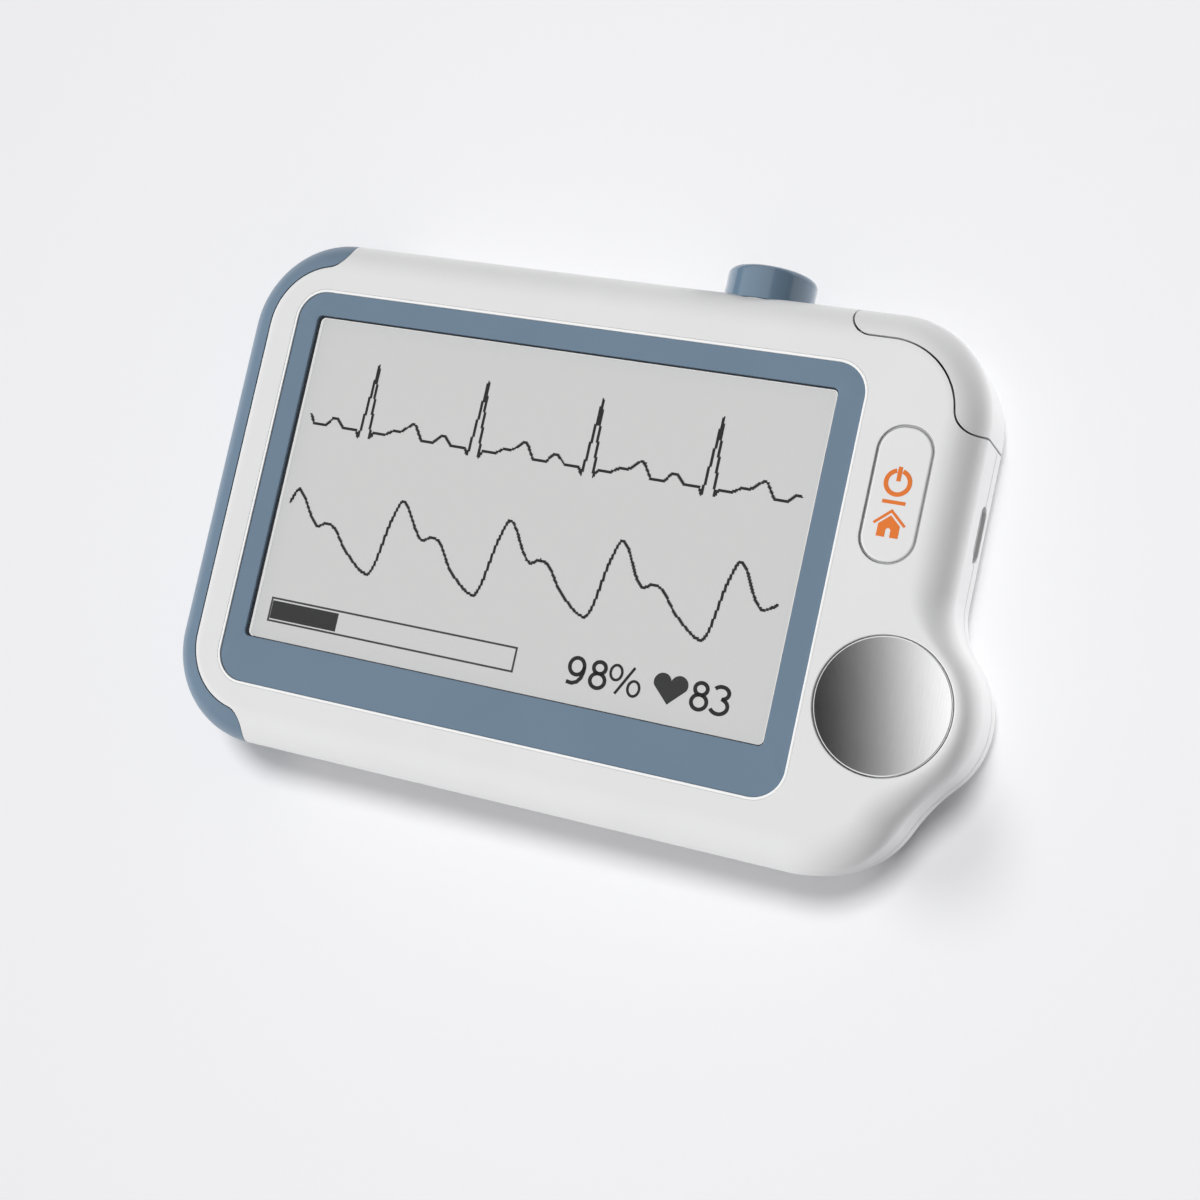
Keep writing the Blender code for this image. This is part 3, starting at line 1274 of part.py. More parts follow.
def nozzle_seal():
    middle = (NOZZLE_RADIUS - GROOVE_DEPTH + SEAL_RADIUS + BOND_GAP, TOP_SIDE + SEAL_RISE)
    profile = circle(middle, SEAL_RADIUS, 2 * SMALL_CORNER_STEPS)
    return finish(turned("nozzle_seal", profile, (PROBE_X, PROBE_Z), "xz", bored=True),
                  DARK_RUBBER, 0.7)


def infrared_sensor():
    base = NOZZLE_TAIL_Y + BOND_GAP
    top = base + CAN_LENGTH
    recess = LENS_RADIUS + BOND_GAP
    profile = [
        (NOZZLE_BORE - SNAP_GAP, base),
        (NOZZLE_BORE - SNAP_GAP, base + CAN_FLANGE),
        (CAN_RADIUS, base + CAN_FLANGE),
        (CAN_RADIUS, top),
        (recess, top),
        (recess, top - LENS_THICKNESS - BOND_GAP),
    ]
    return finish(turned("infrared_sensor", profile, (PROBE_X, PROBE_Z), "xz"), STEEL, 0.25, 1.0)


def infrared_lens():
    top = NOZZLE_TAIL_Y + BOND_GAP + CAN_LENGTH
    profile = [(LENS_RADIUS, top - LENS_THICKNESS), (LENS_RADIUS, top)]
    return finish(turned("infrared_lens", profile, (PROBE_X, PROBE_Z), "xz",
                         SMALL_ROUND_STEPS), CHIP_BLACK, 0.1)


def sensor_board():
    outline = rectangle((PROBE_X, PROBE_Z), PROBE_BOARD_SIZE, PROBE_BOARD_SIZE, CHIP_EDGE)
    high = NOZZLE_TAIL_Y - BOND_GAP
    return finish(prism("sensor_board", outline, high - BOARD_THICKNESS, high, "xz"), GREEN_BOARD,
                  0.5)


def thermometer_cap():
    """Cap that slips over the nozzle; its foot stands a hair off the case."""
    foot = TOP_SIDE + CAP_FOOT_GAP
    top = TOP_SIDE + CAP_RISE
    bore = NOZZLE_RADIUS + CLEARANCE
    rings = [(bore, top - CAP_TOP_WALL), (bore, foot), (CAP_RADIUS, foot)]
    for i in range(SMALL_CORNER_STEPS + 1):
        turn = math.radians(90 * i / SMALL_CORNER_STEPS)
        rings.append((CAP_RADIUS - CAP_EDGE * (1 - math.cos(turn)),
                      top - CAP_EDGE * (1 - math.sin(turn))))
    return finish(turned("thermometer_cap", rings, (PROBE_X, PROBE_Z), "xz"), BLUE_PLASTIC, 0.3)


# Finger clip


def sensor_cover():
    slot_low = LUG_LOW - CLEARANCE
    slot_high = LUG_LOW + LUG_HEIGHT + COIL_ROOM
    cover = case_solid("sensor_cover")
    keep(cover, cover_prism("cover_plan", -COVER_SEAM / 2, -CUT_OVERRUN, -CUT_OVERRUN,
                            CASE_DEPTH + CUT_OVERRUN))
    slot = COIL_RADIUS + COIL_WIRE_RADIUS + CLEARANCE
    pin = PIN_RADIUS + PIN_CLEARANCE
    reach = COVER_END_RADIUS + CUT_OVERRUN
    half = LUG_RADIUS + CLEARANCE
    lug_room = []
    for turn, across in ((LUG_TURN, 90), (LUG_TURN - COVER_SWING, -90)):
        edge = [polar(HINGE, half, turn + across), polar(polar(HINGE, reach, turn), half,
                                                         turn + across)]
        lug_room += edge if across > 0 else edge[::-1]
    cut(
        cover,
        turned("hinge_slot", [(slot, slot_low), (slot, slot_high)], HINGE),
        prism("lug_room", lug_room, slot_low, slot_high),
        turned("pin_hole", [(pin, slot_low - KNUCKLE_DEPTH - CLEARANCE),
               (pin, slot_high + KNUCKLE_DEPTH + CLEARANCE)], HINGE, steps=2 * SMALL_ROUND_STEPS),
        clip_block("emitter_pocket", BED_WALL - CUT_OVERRUN, EMITTER_BACK + DIODE_THICKNESS
                   + 2 * BOND_GAP, WINDOW_WIDTH + 2 * SNAP_GAP, WINDOW_HEIGHT + 2 * SNAP_GAP),
    )
    return finish(cover, WHITE_PLASTIC, 0.4)


def hinge_pin():
    low = LUG_LOW - CLEARANCE - KNUCKLE_DEPTH
    high = LUG_LOW + LUG_HEIGHT + COIL_ROOM + KNUCKLE_DEPTH
    return finish(turned("hinge_pin", [(PIN_RADIUS, low), (PIN_RADIUS, high)], HINGE,
                         steps=2 * SMALL_ROUND_STEPS), STEEL, 0.3, 1.0)


def cover_spring():
    """Torsion spring round the pin: one unbroken wire with a leg at each end."""
    low = LUG_LOW + LUG_HEIGHT + CLEARANCE + COIL_WIRE_RADIUS
    steps = int(COIL_TURNS * SMALL_ROUND_STEPS)
    path = []
    for i in range(steps + 1):
        turns = COIL_TURNS * i / steps
        path.append((*polar(HINGE, COIL_RADIUS, 360 * turns), low + COIL_PITCH * turns))
    leg_start = (*polar(path[0], COIL_LEG, -90), path[0][2])
    leg_end = (*polar(path[-1], COIL_LEG, 360 * COIL_TURNS + 90), path[-1][2])
    one_turn = SMALL_ROUND_STEPS
    apart = min(math.dist(a, b) for i, a in enumerate(path) for b in path[i + one_turn // 2:])
    print(f"cover_spring: least gap to itself {(apart - 2 * COIL_WIRE_RADIUS) / MM:.2f} mm")
    piece = swept("cover_spring", [leg_start] + path + [leg_end], COIL_WIRE_RADIUS)
    return finish(piece, STEEL, 0.3, 1.0)


def emitter_window():
    return finish(clip_block("emitter_window", EMITTER_BACK - WINDOW_THICKNESS, EMITTER_BACK,
                             WINDOW_WIDTH, WINDOW_HEIGHT), RED_WINDOW, 0.15)


def emitter_led():
    near = EMITTER_BACK + BOND_GAP
    return finish(clip_block("emitter_led", near, near + DIODE_THICKNESS, DIODE_SIZE, DIODE_SIZE),
                  GOLD_CONTACT, 0.3)


def finger_bed():
    outline = bed_outline(BED_WALL - WALL, BED_WALL - BOND_GAP, SNAP_GAP)
    bed = prism("finger_bed", outline, BED_LOW_SHARE * CASE_DEPTH + SNAP_GAP,
                BED_HIGH_SHARE * CASE_DEPTH - SNAP_GAP)
    cut(bed, clip_block("detector_pocket", BED_WALL - WALL - CUT_OVERRUN, BED_WALL + CUT_OVERRUN,
                        WINDOW_WIDTH + 2 * SNAP_GAP, WINDOW_HEIGHT + 2 * SNAP_GAP))
    return finish(bed, DARK_RUBBER, 0.8)


def detector_window():
    far = BED_WALL - SNAP_GAP
    return finish(clip_block("detector_window", far - WINDOW_THICKNESS, far, WINDOW_WIDTH,
                             WINDOW_HEIGHT), RED_WINDOW, 0.15)


def photodiode():
    far = BED_WALL - SNAP_GAP - WINDOW_THICKNESS - BOND_GAP
    return finish(clip_block("photodiode", far - DIODE_THICKNESS, far, DIODE_SIZE, DIODE_SIZE),
                  CHIP_BLACK, 0.3)


# Screws


def screws(name, places, radius, head_radius, head_height, seat, tip, side):
    """Screws with a driver recess, their heads against seat and their points at tip.

    side is -1 where the head is at the bottom and 1 where it is at the top.
    """
    slot = head_radius * RECESS_SHARE
    depth = head_height / 2
    profile = [
        (radius, tip),
        (radius, seat),
        (head_radius, seat),
        (head_radius, seat + side * head_height),
        (slot, seat + side * head_height),
        (slot, seat + side * (head_height - depth)),
    ]
    screw = turned(name, profile, (0.0, 0.0), steps=SMALL_ROUND_STEPS)
    finish(screw, STEEL, 0.3, 1.0)
    return copies(screw, name, [(x, y, 0.0) for x, y in places])


def build():
    for old in list(bpy.data.objects):
        bpy.data.objects.remove(old, do_unlink=True)
    front_shell()
    rear_shell()
    side_trim()
    side_electrode()
    display_bezel()
    touch_panel()
    lcd_module()
    display_foam()
    display_frame()
    display_ribbon()
    main_board()
    square = (PROCESSOR_SIZE, PROCESSOR_SIZE)
    chip("processor_chip", PROCESSOR_SHARES, square, CHIP_HEIGHT, CHIP_BLACK)
    chip("memory_chip", MEMORY_SHARES, (MEMORY_SIZE, MEMORY_SIZE), CHIP_HEIGHT, CHIP_BLACK)
    chip("ecg_amplifier_chip", AMPLIFIER_SHARES, (AMPLIFIER_SIZE, AMPLIFIER_SIZE), CHIP_HEIGHT,
         CHIP_BLACK)
    chip("radio_shield", SHIELD_SHARES, (SHIELD_LENGTH, SHIELD_WIDTH), CHIP_HEIGHT, STEEL, 1.0)
    ribbon_socket()
    battery()
    battery_plug()
    speaker()
    plate_electrode("thumb_electrode", THUMB_PLATE_RADIUS, FACE, CEILING - STEM_REACH, 1)
    plate_electrode("back_electrode", BACK_PLATE_RADIUS, BACK_PLATE_SINK, WALL + STEM_REACH, -1)
    contact("thumb_contact", BOARD_TOP + BOND_GAP, CEILING - STEM_REACH - BOND_GAP,
            LOBE[0] - CONTACT_REACH, 1)
    contact("back_contact", BOARD_BOTTOM - BOND_GAP, WALL + STEM_REACH + BOND_GAP,
            LOBE[0] - CONTACT_REACH, 1)
    side_contact()
    button_switch()
    charging_socket()
    socket_tongue()
    thermometer_nozzle()
    nozzle_seal()
    infrared_sensor()
    infrared_lens()
    sensor_board()
    hinge_pin()
    finger_bed()
    detector_window()
    photodiode()
    screws("case_screw", case_screw_places(), CASE_SCREW_RADIUS, CASE_SCREW_HEAD,
           CASE_SCREW_HEAD_HEIGHT, SCREW_SEAT - BOND_GAP, SPLIT_HEIGHT + CASE_SCREW_BITE, -1)
    screws("board_screw", board_screw_places(), SMALL_SCREW_RADIUS, SMALL_SCREW_HEAD,
           SMALL_SCREW_HEAD_HEIGHT, BOARD_TOP + BOND_GAP, BOARD_BOTTOM - BOARD_SCREW_BITE, 1)
    screws("frame_screw", ear_places(), SMALL_SCREW_RADIUS, SMALL_SCREW_HEAD,
           SMALL_SCREW_HEAD_HEIGHT, EAR_TOP - EAR_THICKNESS - BOND_GAP,
           FRAME_SCREW_TIP, -1)
    carry("home_button_press", (*BUTTON, FACE), [home_button()])
    carry("switch_plunger_press", (*BUTTON, PLUNGER_TOP), [switch_plunger()])
    carry("sensor_cover_swing", (*HINGE, CASE_DEPTH / 2),
          [sensor_cover(), cover_spring(), emitter_window(), emitter_led()])
    carry("thermometer_cap_pull", (PROBE_X, TOP_SIDE, PROBE_Z), [thermometer_cap()])


build()
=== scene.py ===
"""Looks of the handheld ECG home monitor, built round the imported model.

Sizes are in millimetres, and the meshes come out in metres. X runs along the case to the thumb
lobe, Y to the top edge, Z out of the screen.
"""

import json
import math

import bmesh
import bpy
from mathutils import Matrix, Vector

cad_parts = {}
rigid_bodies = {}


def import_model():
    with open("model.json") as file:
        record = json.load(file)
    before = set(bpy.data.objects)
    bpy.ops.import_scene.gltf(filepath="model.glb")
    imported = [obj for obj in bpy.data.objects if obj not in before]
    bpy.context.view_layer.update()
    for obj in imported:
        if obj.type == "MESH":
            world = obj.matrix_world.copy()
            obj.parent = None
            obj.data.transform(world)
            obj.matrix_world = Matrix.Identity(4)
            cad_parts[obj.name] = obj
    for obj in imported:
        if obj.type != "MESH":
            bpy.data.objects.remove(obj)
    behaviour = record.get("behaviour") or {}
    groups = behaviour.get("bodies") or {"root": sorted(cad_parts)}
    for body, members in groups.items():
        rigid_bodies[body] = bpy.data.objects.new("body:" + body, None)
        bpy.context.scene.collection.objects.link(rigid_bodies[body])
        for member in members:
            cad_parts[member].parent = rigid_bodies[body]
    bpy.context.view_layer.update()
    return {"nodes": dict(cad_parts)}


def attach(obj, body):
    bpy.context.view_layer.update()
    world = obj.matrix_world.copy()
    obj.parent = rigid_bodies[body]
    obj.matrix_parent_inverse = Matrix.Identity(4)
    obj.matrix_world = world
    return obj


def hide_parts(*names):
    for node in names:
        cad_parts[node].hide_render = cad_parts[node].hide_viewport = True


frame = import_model()

MM = 0.001  # in metres
PI = math.pi

# The case, as in the source
SCREEN_LENGTH = 59.4
SCREEN_WIDTH = 35.88
SCREEN_CORNER = 0.6
BORDER_LEFT = 2.4
BORDER_RIGHT = 2.7
BORDER_TOP = 2.6
BORDER_BOTTOM = 4.97
CASE_LENGTH = 88.0
CASE_WIDTH = 56.0
FACE = 13.0
FACE_LEFT = 6.55
FACE_TOP = 6.2
CORNER_RADIUS = 10.5
LOBE_REACH = 4.8
LOBE_RADIUS = 9.0
LOBE_RISE = 17.5
LOBE_UPPER_BLEND = 8.0
LOBE_LOWER_BLEND = 20.0
FACE_EDGE_WIDTH = 3.9
FACE_EDGE_DEPTH = 3.6
LOBE_EDGE_WIDTH = 1.9
BACK_EDGE = 2.6
WALL = 1.5
SPLIT_HEIGHT = 4.6
LIP_HEIGHT = 0.9
LIP_SKIN = 0.5

# Gaps and small edges
SEAM = 0.2  # round the screws' heads and behind the lip
SPLIT_SEAM = 0.1  # between the front and the rear shell
LIP_GAP = 0.1  # above the rear shell's edge, where the lip ends
FIT = 0.03  # beside pieces that are pressed into the face
LIP = 0.28  # the whiter edge that frames the bezel, a painted highlight
RIM = 0.12  # the small round where a hole meets a face
EDGE = 0.09  # the small round on every other sharp edge
OVERRUN = 1.0
JOIN_OVERLAP = 0.3
SAME_POINT = 0.004
SHARP_ANGLE = 32  # degrees
NORMAL_WEIGHT = 80  # how much large faces steer the shading at an edge

# Display
BEZEL_CORNER = 3.2
BEZEL_TOP = 12.85
BEZEL_BOTTOM = 12.25
BEZEL_EDGE = 0.1
POCKET_FLOOR = 12.15
PANEL_TOP = 12.15
PANEL_OPENING = (62.0, 38.5, 0.8)
LCD_TOP = 11.55
CEILING = FACE - WALL
GLASS_CORNER = 0.5

# Cover, its hinge and its finger pad's opening
COVER_BAND = 3.15
COVER_END_RADIUS = 2.3
COVER_END_TURN = 9.0
COVER_TAIL = 2.4
COVER_SEAM = 0.2
COVER_ROOM = 0.3  # the source's gap, which places what lies behind the cover
COVER_SWING = 40.0
LUG_LOW = 5.0
LUG_HEIGHT = 1.5
LUG_TURN = 240.0
PIN_RADIUS = 0.45
BED_LOW = 3.51
BED_HIGH = 9.49
BED_START = 19.0
BED_END = 71.0

# Side trim
TRIM_BAND = 3.2
TRIM_END_RADIUS = 2.3
TRIM_END_TURN = 12.0
TRIM_SEAM = 0.08
ROOT_SHARE = 0.8

# Button, plates, socket, probe and screws
BUTTON = (32.15, 9.73)
BUTTON_SIZE = (5.3, 13.3, 2.5)
BUTTON_GAP = 0.07
BUTTON_GROOVE = 0.22
BUTTON_FLANGE = 0.6
THUMB_PLATE = 6.75
BACK_PLATE = 6.0
SIDE_PLATE = (20.0, 5.2, 2.6)
SIDE_PLATE_PLACE = (0.0, 6.0)
PLATE_GAP = 0.08
PLATE_EDGE = 0.16
PLATE_THICKNESS = 0.7
PORT = (8.25, 4.85)
PORT_SIZE = (5.6, 2.6, 1.1)
PROBE = (13.2, 6.5)
PROBE_OPENING = 3.3
CAP_RADIUS = 4.7
CAP_FOOT = 27.6
CAP_RISE = 3.2
CAP_SEAM = 0.07
SCREWS = ((-27.016, 24.0), (5.016, 24.0), (-27.016, -24.0), (18.04, -24.0), (33.5, -1.0))
SCREW_HEAD = 1.3
SCREW_SEAT = 1.2

# How finely round shapes are cut
CORNER_STEPS = 28
LOBE_STEPS = 40
BLEND_STEPS = 16
FACE_EDGE_STEPS = 14
BACK_EDGE_STEPS = 8
ROUND_STEPS = 96
RIM_STEPS = 4
FRAME_STEPS = 20
PLATE_STEPS = 128
SCREW_STEPS = 48
PIN_STEPS = 32

LEFT_SIDE = -CASE_LENGTH / 2
RIGHT_SIDE = CASE_LENGTH / 2 - LOBE_REACH
TOP_SIDE = CASE_WIDTH / 2
BEZEL_LENGTH = BORDER_LEFT + SCREEN_LENGTH + BORDER_RIGHT
BEZEL_WIDTH = BORDER_BOTTOM + SCREEN_WIDTH + BORDER_TOP
BEZEL_LEFT = LEFT_SIDE + FACE_LEFT
BEZEL_HIGH = TOP_SIDE - FACE_TOP
SCREEN = (
    BEZEL_LEFT + BORDER_LEFT + SCREEN_LENGTH / 2, BEZEL_HIGH - BORDER_TOP - SCREEN_WIDTH / 2
)
BEZEL_PLACE = (BEZEL_LEFT + BEZEL_LENGTH / 2, BEZEL_HIGH - BEZEL_WIDTH / 2)
LOBE = (CASE_LENGTH / 2 - LOBE_RADIUS, LOBE_RISE - TOP_SIDE)
COVER_CORNER = (RIGHT_SIDE - CORNER_RADIUS, TOP_SIDE - CORNER_RADIUS)
LEFT_CORNER = (LEFT_SIDE + CORNER_RADIUS, TOP_SIDE - CORNER_RADIUS)
HINGE = (COVER_CORNER[0] - COVER_TAIL, TOP_SIDE - COVER_BAND + COVER_END_RADIUS)
BED_WALL = CORNER_RADIUS - COVER_BAND - COVER_ROOM / 2
TRIM_WALL = LEFT_SIDE + TRIM_BAND + TRIM_SEAM / 2 + WALL


# Points and outlines


def polar(centre, radius, turn):
    angle = math.radians(turn)
    return (centre[0] + radius * math.cos(angle), centre[1] + radius * math.sin(angle))


def arc(centre, radius, start, end, steps):
    return [polar(centre, radius, start + (end - start) * i / steps) for i in range(steps + 1)]


def distinct(points):
    return [p for i, p in enumerate(points) if math.dist(p, points[i - 1]) > SAME_POINT]


def bearing(start, end):
    return math.degrees(math.atan2(end[1] - start[1], end[0] - start[0])) % 360


def meeting_point(first, first_radius, second, second_radius):
    """The right-hand point where two circles meet."""
    span = math.dist(first, second)
    along = (first_radius**2 - second_radius**2 + span**2) / (2 * span)
    across = math.sqrt(first_radius**2 - along**2)
    x, y = ((b - a) / span for a, b in zip(first, second))
    return (first[0] + along * x + across * y, first[1] + along * y - across * x)


def at_height(points, z):
    return [(x, y, z) for x, y in points]


def rectangle(centre, length, width, radius, steps=10):
    points = []
    for quarter, (x, y) in enumerate(((1, 1), (-1, 1), (-1, -1), (1, -1))):
        corner = (centre[0] + x * (length / 2 - radius), centre[1] + y * (width / 2 - radius))
        points += arc(corner, radius, 90 * quarter, 90 * (quarter + 1), steps)
    return points


def circle(centre, radius, steps=ROUND_STEPS):
    return arc(centre, radius, 0, 360 - 360 / steps, steps - 1)


def rounded(centre, length, width, radius, steps=10):
    """Outline function of a rounded rectangle that can be grown."""
    return lambda grow: rectangle(centre, length + 2 * grow, width + 2 * grow, radius + grow, steps)


def round_of(centre, radius, steps=ROUND_STEPS):
    return lambda grow: circle(centre, radius + grow, steps)


def grown(outline_of, extra):
    return lambda grow: outline_of(extra + grow)


bezel_outline = rounded(BEZEL_PLACE, BEZEL_LENGTH, BEZEL_WIDTH, BEZEL_CORNER, FRAME_STEPS)
button_outline = rounded(BUTTON, *BUTTON_SIZE, FRAME_STEPS)
side_plate_outline = rounded(SIDE_PLATE_PLACE, *SIDE_PLATE, BLEND_STEPS)


def case_arcs():
    """Each arc: centre, radius, turns, bulge, steps, and the lobe's share at its two ends."""
    low_corner = (COVER_CORNER[0], CORNER_RADIUS - TOP_SIDE)
    low_left = (LEFT_CORNER[0], low_corner[1])
    lower = meeting_point(low_corner, CORNER_RADIUS + LOBE_LOWER_BLEND,
                          LOBE, LOBE_RADIUS + LOBE_LOWER_BLEND)
    upper_x = RIGHT_SIDE + LOBE_UPPER_BLEND
    rise = math.sqrt((LOBE_RADIUS + LOBE_UPPER_BLEND) ** 2 - (upper_x - LOBE[0]) ** 2)
    upper = (upper_x, LOBE[1] + rise)
    low_end = bearing(low_corner, lower)
    lobe_start = bearing(LOBE, lower) - 360
    lobe_end = bearing(LOBE, upper)
    return (
        (COVER_CORNER, CORNER_RADIUS, 0, 90, 1, CORNER_STEPS, 0, 0),
        (LEFT_CORNER, CORNER_RADIUS, 90, 180, 1, CORNER_STEPS, 0, 0),
        (low_left, CORNER_RADIUS, 180, 270, 1, CORNER_STEPS, 0, 0),
        (low_corner, CORNER_RADIUS, 270, low_end, 1, CORNER_STEPS, 0, 0),
        (lower, LOBE_LOWER_BLEND, low_end - 180, bearing(lower, LOBE), -1, BLEND_STEPS, 0, 1),
        (LOBE, LOBE_RADIUS, lobe_start, lobe_end, 1, LOBE_STEPS, 1, 1),
        (upper, LOBE_UPPER_BLEND, lobe_end + 180, 180, -1, BLEND_STEPS, 1, 0),
    )


def case_ring(z, inset, lobe_inset=None):
    """The case's outline at a height, drawn in by inset, and by lobe_inset round the lobe."""
    if lobe_inset is None:
        lobe_inset = inset
    ring = []
    last_bulge = 1
    for centre, radius, start, end, bulge, steps, share_start, share_end in case_arcs():
        joined = bulge < 0 or last_bulge < 0
        for i in range(int(joined), steps + 1):
            part = i / steps
            eased = part * part * (3 - 2 * part)
            share = share_start + (share_end - share_start) * eased
            drawn = inset + (lobe_inset - inset) * share
            x, y = polar(centre, radius - bulge * drawn, start + (end - start) * part)
            ring.append((x, y, z))
        last_bulge = bulge
    return ring


def face_edge_rings(wall):
    rings = []
    for i in range(FACE_EDGE_STEPS + 1):
        turn = math.radians(90 * i / FACE_EDGE_STEPS)
        z = FACE - FACE_EDGE_DEPTH + (FACE_EDGE_DEPTH - wall) * math.sin(turn)
        inset = FACE_EDGE_WIDTH - (FACE_EDGE_WIDTH - wall) * math.cos(turn)
        lobe_inset = LOBE_EDGE_WIDTH - (LOBE_EDGE_WIDTH - wall) * math.cos(turn)
        rings.append(case_ring(z, inset, lobe_inset))
    return rings


def back_edge_rings(wall):
    rings = []
    for i in range(BACK_EDGE_STEPS + 1):
        turn = math.radians(90 * i / BACK_EDGE_STEPS)
        z = BACK_EDGE - (BACK_EDGE - wall) * math.cos(turn)
        rings.append(case_ring(z, BACK_EDGE - (BACK_EDGE - wall) * math.sin(turn)))
    return rings


def band_outline(corners, band, end_radius, turn, tail, outer):
    """Plan of a band along the case's edge that ends in round lobes, as in the source."""
    depth = band - end_radius
    reach = CORNER_RADIUS - depth
    rim = CORNER_RADIUS - outer
    opening = math.acos((rim**2 - reach**2 - end_radius**2) / (2 * reach * end_radius))
    swing = math.degrees(math.asin(end_radius * math.sin(opening) / rim))
    opening = math.degrees(opening)
    begin = corners[0][1] + turn
    finish = corners[-1][1] + 90 - (0 if tail else turn)
    last_lobe = polar(polar(corners[-1][0], reach, finish), tail, finish + 90)
    last_opening = math.degrees(math.acos((depth - outer) / end_radius)) if tail else opening
    first_lobe = polar(corners[0][0], reach, begin)
    points = arc(first_lobe, end_radius, begin - opening, begin - 180, LOBE_STEPS)
    lows = [begin] + [start for _, start in corners[1:]]
    highs = [start + 90 for _, start in corners[:-1]] + [finish]
    for (centre, _), low, high in zip(corners, lows, highs):
        points += arc(centre, CORNER_RADIUS - band, low, high, CORNER_STEPS)
    points += arc(last_lobe, end_radius, finish + 180, finish + last_opening, LOBE_STEPS)
    lows[0] -= swing
    highs[-1] += 0 if tail else swing
    for (centre, _), low, high in reversed(list(zip(corners, lows, highs))):
        points += arc(centre, rim, high, low, CORNER_STEPS)
    return distinct(points)


def cover_outline(grow, outer):
    return band_outline(
        ((COVER_CORNER, 0),), COVER_BAND + grow, COVER_END_RADIUS + grow, COVER_END_TURN,
        COVER_TAIL, outer,
    )


def trim_outline(grow, outer):
    return band_outline(
        ((LEFT_CORNER, 90), ((LEFT_CORNER[0], -LEFT_CORNER[1]), 180)),
        TRIM_BAND + grow, TRIM_END_RADIUS + grow, TRIM_END_TURN, 0.0, outer,
    )


# Meshes


def object_of(name, mesh):
    piece = bpy.data.objects.new(name, mesh)
    bpy.context.scene.collection.objects.link(piece)
    return piece


def smoothed(mesh):
    mesh.shade_smooth()
    mesh.set_sharp_from_angle(angle=math.radians(SHARP_ANGLE))


def add_mesh(name, build):
    mesh = bpy.data.meshes.new(name)
    shape = bmesh.new()
    build(shape)
    bmesh.ops.recalc_face_normals(shape, faces=shape.faces)
    shape.to_mesh(mesh)
    shape.free()
    smoothed(mesh)
    return object_of(name, mesh)


def loft_into(shape, rings, closed=False):
    rows = [[shape.verts.new([c * MM for c in point]) for point in ring] for ring in rings]
    pairs = list(zip(rows, rows[1:]))
    if closed:
        pairs.append((rows[-1], rows[0]))
    for low, high in pairs:
        for i, corner in enumerate(low):
            after = (i + 1) % len(low)
            shape.faces.new((corner, low[after], high[after], high[i]))
    if not closed:
        shape.faces.new(rows[0])
        shape.faces.new(rows[-1])


def lofted(name, rings, closed=False):
    return add_mesh(name, lambda shape: loft_into(shape, rings, closed))


def turned_to(points, plane):
    order = {"xy": (0, 1, 2), "xz": (0, 2, 1), "yz": (2, 0, 1)}[plane]
    return [tuple(point[i] for i in order) for point in points]


def layered(name, outline_of, levels, plane="xy", closed=False):
    """Loft through an outline that is grown by its own amount at each level."""
    rings = [turned_to(at_height(outline_of(grow), z), plane) for grow, z in levels]
    return lofted(name, rings, closed)


def prism(name, outline, low, high, plane="xy"):
    return layered(name, lambda _: outline, [(0.0, low), (0.0, high)], plane)


def turned(name, profile, centre, plane="xy", steps=ROUND_STEPS, closed=False):
    return layered(name, round_of(centre, 0.0, steps), profile, plane, closed)


def rod(name, centre, radius, low, high, plane="xy", steps=PIN_STEPS):
    return turned(name, [(radius, low), (radius, high)], centre, plane, steps)


def rim_arc(radius, steps=RIM_STEPS):
    """Steps round a small edge: how far in from the wall, and how far below the face."""
    turns = [math.radians(90 * i / steps) for i in range(steps + 1)]
    return [(radius * (1 - math.cos(t)), radius * (1 - math.sin(t))) for t in turns]


def mouth(name, outline_of, start, face, rim=RIM, plane="xy"):
    """Cutter from start out through a face, its mouth widened in a small round."""
    out = 1 if face > start else -1
    edge = [(grow, face - out * below) for grow, below in rim_arc(rim)]
    levels = [(0.0, start), *edge, (rim, face + out * OVERRUN)]
    return layered(name, outline_of, levels, plane)


def combine(piece, tool, operation):
    modifier = piece.modifiers.new(tool.name, "BOOLEAN")
    modifier.operation = operation
    modifier.solver = "EXACT"
    modifier.object = tool
    tool.hide_render = True


def cut(piece, *tools):
    for tool in tools:
        combine(piece, tool, "DIFFERENCE")


def join(piece, *tools):
    for tool in tools:
        combine(piece, tool, "UNION")


def tools_of(piece):
    found = []
    for modifier in piece.modifiers:
        if modifier.type == "BOOLEAN":
            found += [modifier.object] + tools_of(modifier.object)
    return found


def steadied(piece, keep_sharp=False):
    """Keeps the flat faces' shading flat beside their small rounds."""
    steady = piece.modifiers.new("steady", "WEIGHTED_NORMAL")
    steady.keep_sharp = keep_sharp
    steady.weight = NORMAL_WEIGHT
    return piece


def settle(piece, bevel=EDGE):
    """Applies the piece's Booleans, removes their tools and rounds the edges that they left."""
    tools = tools_of(piece)
    graph = bpy.context.evaluated_depsgraph_get()
    mesh = bpy.data.meshes.new_from_object(piece.evaluated_get(graph))
    piece.modifiers.clear()
    piece.data = mesh
    for tool in tools:
        bpy.data.objects.remove(tool, do_unlink=True)
    shape = bmesh.new()
    shape.from_mesh(mesh)
    bmesh.ops.remove_doubles(shape, verts=shape.verts, dist=SAME_POINT / 2 * MM)
    bmesh.ops.dissolve_degenerate(shape, edges=shape.edges, dist=SAME_POINT / 2 * MM)
    shape.to_mesh(mesh)
    shape.free()
    smoothed(mesh)
    if bevel:
        rounds = piece.modifiers.new("rounds", "BEVEL")
        rounds.width = bevel * MM
        rounds.segments = 2
        rounds.limit_method = "ANGLE"
        rounds.angle_limit = math.radians(SHARP_ANGLE)
    return steadied(piece, keep_sharp=True)


